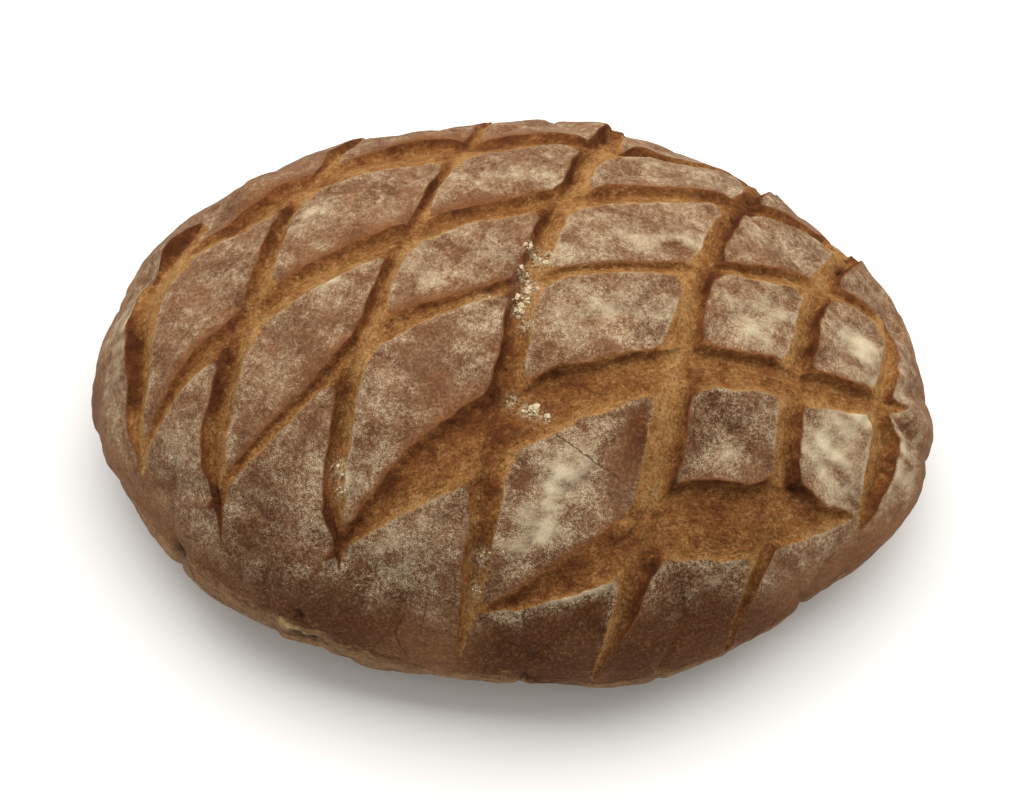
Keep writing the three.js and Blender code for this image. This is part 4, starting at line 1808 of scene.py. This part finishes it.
    def fields(self) -> dict[str, np.ndarray]:
        """Work out the numbers that the crust's material reads.

        Returns:
            One number for each point, by the field's name.
        """
        points = self.points
        height = points[:, 2]
        tone_and_shade = self.shared(CutProfile.tone_and_shade) - self.RECESS_SHADE * self.recessed - total(PALE_PATCHES, points)
        toast_and_shade = self.TOAST_LEVEL + self.uneven(self.TOAST) + total(TOAST_AND_SHADE_PATCHES, points)
        crack, cracked = self.crack_lines()
        # Painted shade in the slit under the tear, in the pits and in the creases of the lower crust.
        shade = self.along_path(SLIT_PATH) - self.PIT_SHADE * total(PITS, points)
        shade += self.CREASE_SHADE * self.creases() * (1 - smooth(height, *self.CREASED_TO))
        grain = np.clip(self.GRAIN_LEVEL - self.GRAIN_SLOPE * points[:, 1], *self.GRAIN_RANGE)
        grain *= 1 - self.GRAIN_LOST * smooth(np.abs(points[:, 0]), *self.GRAIN_ENDS)
        rim = height + self.uneven(self.RIM) - RIM_REACH.at(points)
        return {
            "flour": self.flour(),
            "opened": np.clip(-self.gap, -self.OPENED_REACH, self.OPENED_REACH),
            "tone_and_shade": np.clip(tone_and_shade, 0, 1),
            "across": (self.read.offset * self.share).sum(axis=0) * MM,
            "along": (self.read.along * self.share).sum(axis=0) * MM,
            "baked": np.clip(self.of_cuts(CutProfile.baked).max(axis=0), 0, 1),
            "toast_and_shade": np.clip(toast_and_shade, 0, 1),
            "grain": grain,
            "side": 1 - smooth(height + self.uneven(self.SIDE), *self.SIDE_TO),
            "rim": 1 - smooth(rim, *self.RIM_TO),
            "shade": np.clip(shade, 0, self.DEEPEST_SHADE),
            "torn": self.TORN * self.along_path(TORN_PATH),
            "dust": total(CLUMPS, points),
            "crack": crack,
            "cracked": cracked,
        }

    def beside(self, path: Path) -> np.ndarray:
        """Measure from a path over the crust.

        Args:
            path: Places near the crust.

        Returns:
            How far each point lies from it, below zero on its right hand.
        """
        best = np.full(len(self.points), np.inf)
        signed = best.copy()
        for start, end in itertools.pairwise(np.array(path, float)):
            stretch = end - start
            way = np.clip((self.points - start) @ stretch / (stretch @ stretch), 0, 1)
            off = self.points - start - way[:, None] * stretch
            away = np.linalg.norm(off, axis=1)
            off -= self.normals * (off * self.normals).sum(axis=1, keepdims=True)
            distance = np.linalg.norm(off, axis=1) + np.maximum(away - self.PATH_REACH, 0)
            side = np.where((np.cross(self.normals, stretch) * off).sum(axis=1) < 0, -1, 1)
            signed = np.where(distance < best, side * distance, signed)
            best = np.minimum(best, distance)
        return signed

    def crack_lines(self) -> tuple[np.ndarray, np.ndarray]:
        """Work out the fine cracks.

        Returns:
            Each point's place across the nearest crack, and the crack's strength or 0 away from it.
        """
        crack = np.full(len(self.points), self.NO_CRACK)
        cracked = np.zeros(len(self.points))
        for item in CRACKS:
            beside = self.beside(item.path)
            near = np.abs(beside) < self.CRACK_FADE[1]
            crack = np.where(near, beside / item.width / 2, crack)
            cracked = np.where(near, item.strength * (1 - smooth(np.abs(beside), *self.CRACK_FADE)), cracked)
        return crack, cracked

    def along_path(self, path: Path) -> np.ndarray:
        """Return 1 along a ragged path over the crust and 0 away from it."""
        width = TEAR_WIDTH * (1 + self.uneven(self.UNEVEN_TEAR))
        return bell((self.beside(path) + self.uneven(self.WANDER)) / width)


@dataclass(frozen=True)
class FlourLumps:
    """Loose lumps of flour that lie in and beside the cuts."""

    clumps: tuple[Clump, ...] = CLUMPS
    least_size: float = 0.22  # the smallest lump of a clump, as a share of its largest
    lift: float = 0.2
    unevenness: float = 0.35
    flatness: float = 0.6
    lowest_place: float = 30  # of the smooth loaf, below which no lump lies
    seed: int = 5

    def make(self, places: np.ndarray, moved: np.ndarray) -> bpy.types.Object:
        """Return the lumps as one mesh.

        Args:
            places: The crust's points on the smooth loaf, where the clumps have their places.
            moved: The same points on the finished crust.

        Returns:
            The piece.
        """
        draw = np.random.default_rng(self.seed)
        bm = bmesh.new()
        for clump in self.clumps:
            for _ in range(clump.count):
                x, y = draw.normal((clump.x, clump.y), clump.spread / 2)
                away = np.hypot(places[:, 0] - x, places[:, 1] - y)
                nearest = np.where(places[:, 2] < self.lowest_place, np.inf, away).argmin()
                size = clump.size * (self.least_size + (1 - self.least_size) * draw.uniform() ** 2)
                centre = Vector((x, y, places[nearest, 2]))
                centre += Vector(moved[nearest] - places[nearest]) + Vector((0, 0, size * self.lift))
                turn = Matrix.Rotation(draw.uniform(0, math.tau), 4, draw.normal(size=3))
                lump = bmesh.ops.create_icosphere(bm, subdivisions=2, radius=size * MM)["verts"]
                for corner in lump:
                    corner.co *= 1 + self.unevenness * draw.uniform(-1, 1)
                    corner.co.z *= self.flatness
                bmesh.ops.transform(bm, matrix=Matrix.Translation(centre * MM) @ turn, verts=lump)
        mesh = finished_mesh(bm, "flour_lumps")
        mesh.materials.append(FlourFinish().make())
        return placed("flour_lumps", mesh)


# ---- The studio ----


@dataclass(frozen=True)
class Studio:
    """A pale floor, soft light and the camera, with places in millimetres."""

    floor_size: float = 9000
    sky_strength: float = 0.62
    sky_colour: Triple = (1.0, 0.99, 0.975)
    key_place: Triple = (60, 480, 1300)
    key_size: tuple[float, float] = (2600, 1200)
    key_power: float = 32
    key_colour: Triple = (1.0, 0.985, 0.955)
    lens: float = 85
    target: Triple = (-1.7, -1.9, 40)
    elevation: float = 60  # of the camera over the table, in degrees
    yaw: float = 3.6  # how far it stands to the right of straight in front, in degrees
    distance: float = 860.4
    picture_width: int = 1024
    picture_shift: tuple[float, float] = (6, -20.4)  # of the view to the right and up, in pixels

    def make_floor(self) -> None:
        """Lay the floor under the loaf."""
        bm = bmesh.new()
        bmesh.ops.create_grid(bm, x_segments=1, y_segments=1, size=self.floor_size * MM / 2)
        mesh = finished_mesh(bm, "floor")
        mesh.materials.append(FloorFinish().make())
        placed("floor", mesh)

    def make_light(self) -> None:
        """Set up the wide soft light over the back of the loaf, and the even light all round."""
        lamp = bpy.data.lights.new("key", "AREA")
        lamp.shape = "RECTANGLE"
        lamp.size, lamp.size_y = (size * MM for size in self.key_size)
        lamp.energy = self.key_power
        lamp.color = self.key_colour
        key = placed("key", lamp)
        key.location = Vector(self.key_place) * MM
        key.rotation_euler = (-key.location).to_track_quat("-Z", "Y").to_euler()
        world = bpy.data.worlds.new("studio")
        world.use_nodes = True
        sky = world.node_tree.nodes["Background"]
        sky.inputs["Color"].default_value = (*self.sky_colour, 1)
        sky.inputs["Strength"].default_value = self.sky_strength
        bpy.context.scene.world = world

    def make_camera(self) -> None:
        """Place the camera above the front of the loaf."""
        elevation = math.radians(self.elevation)
        yaw = math.radians(self.yaw)
        level = math.cos(elevation)
        back = Vector((math.sin(yaw) * level, -math.cos(yaw) * level, math.sin(elevation)))
        right = Vector((math.cos(yaw), math.sin(yaw), 0))
        lens = bpy.data.cameras.new("camera")
        lens.lens = self.lens
        lens.shift_x, lens.shift_y = (shift / self.picture_width for shift in self.picture_shift)
        place = (Vector(self.target) + back * self.distance) * MM
        turn = Matrix((right, back.cross(right), back)).transposed()
        camera = placed("camera", lens)
        camera.matrix_world = Matrix.Translation(place) @ turn.to_4x4()
        bpy.context.scene.camera = camera

    def make(self) -> None:
        """Set up the whole studio."""
        self.make_floor()
        self.make_light()
        self.make_camera()
        bpy.context.scene.view_settings.view_transform = "Standard"


def main() -> None:
    """Build the studio and the loaf, and report each piece."""
    logging.basicConfig(level=logging.INFO, format="%(name)s: %(message)s")
    Studio().make()
    crust, relief = Loaf().make()
    lumps = FlourLumps().make(relief.points, relief.moved())
    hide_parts("loaf")
    for piece in (crust, lumps):
        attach(piece, "root")
        LOG.info("%s: %d faces", piece.name, len(piece.data.polygons))


if __name__ == "__main__":
    main()
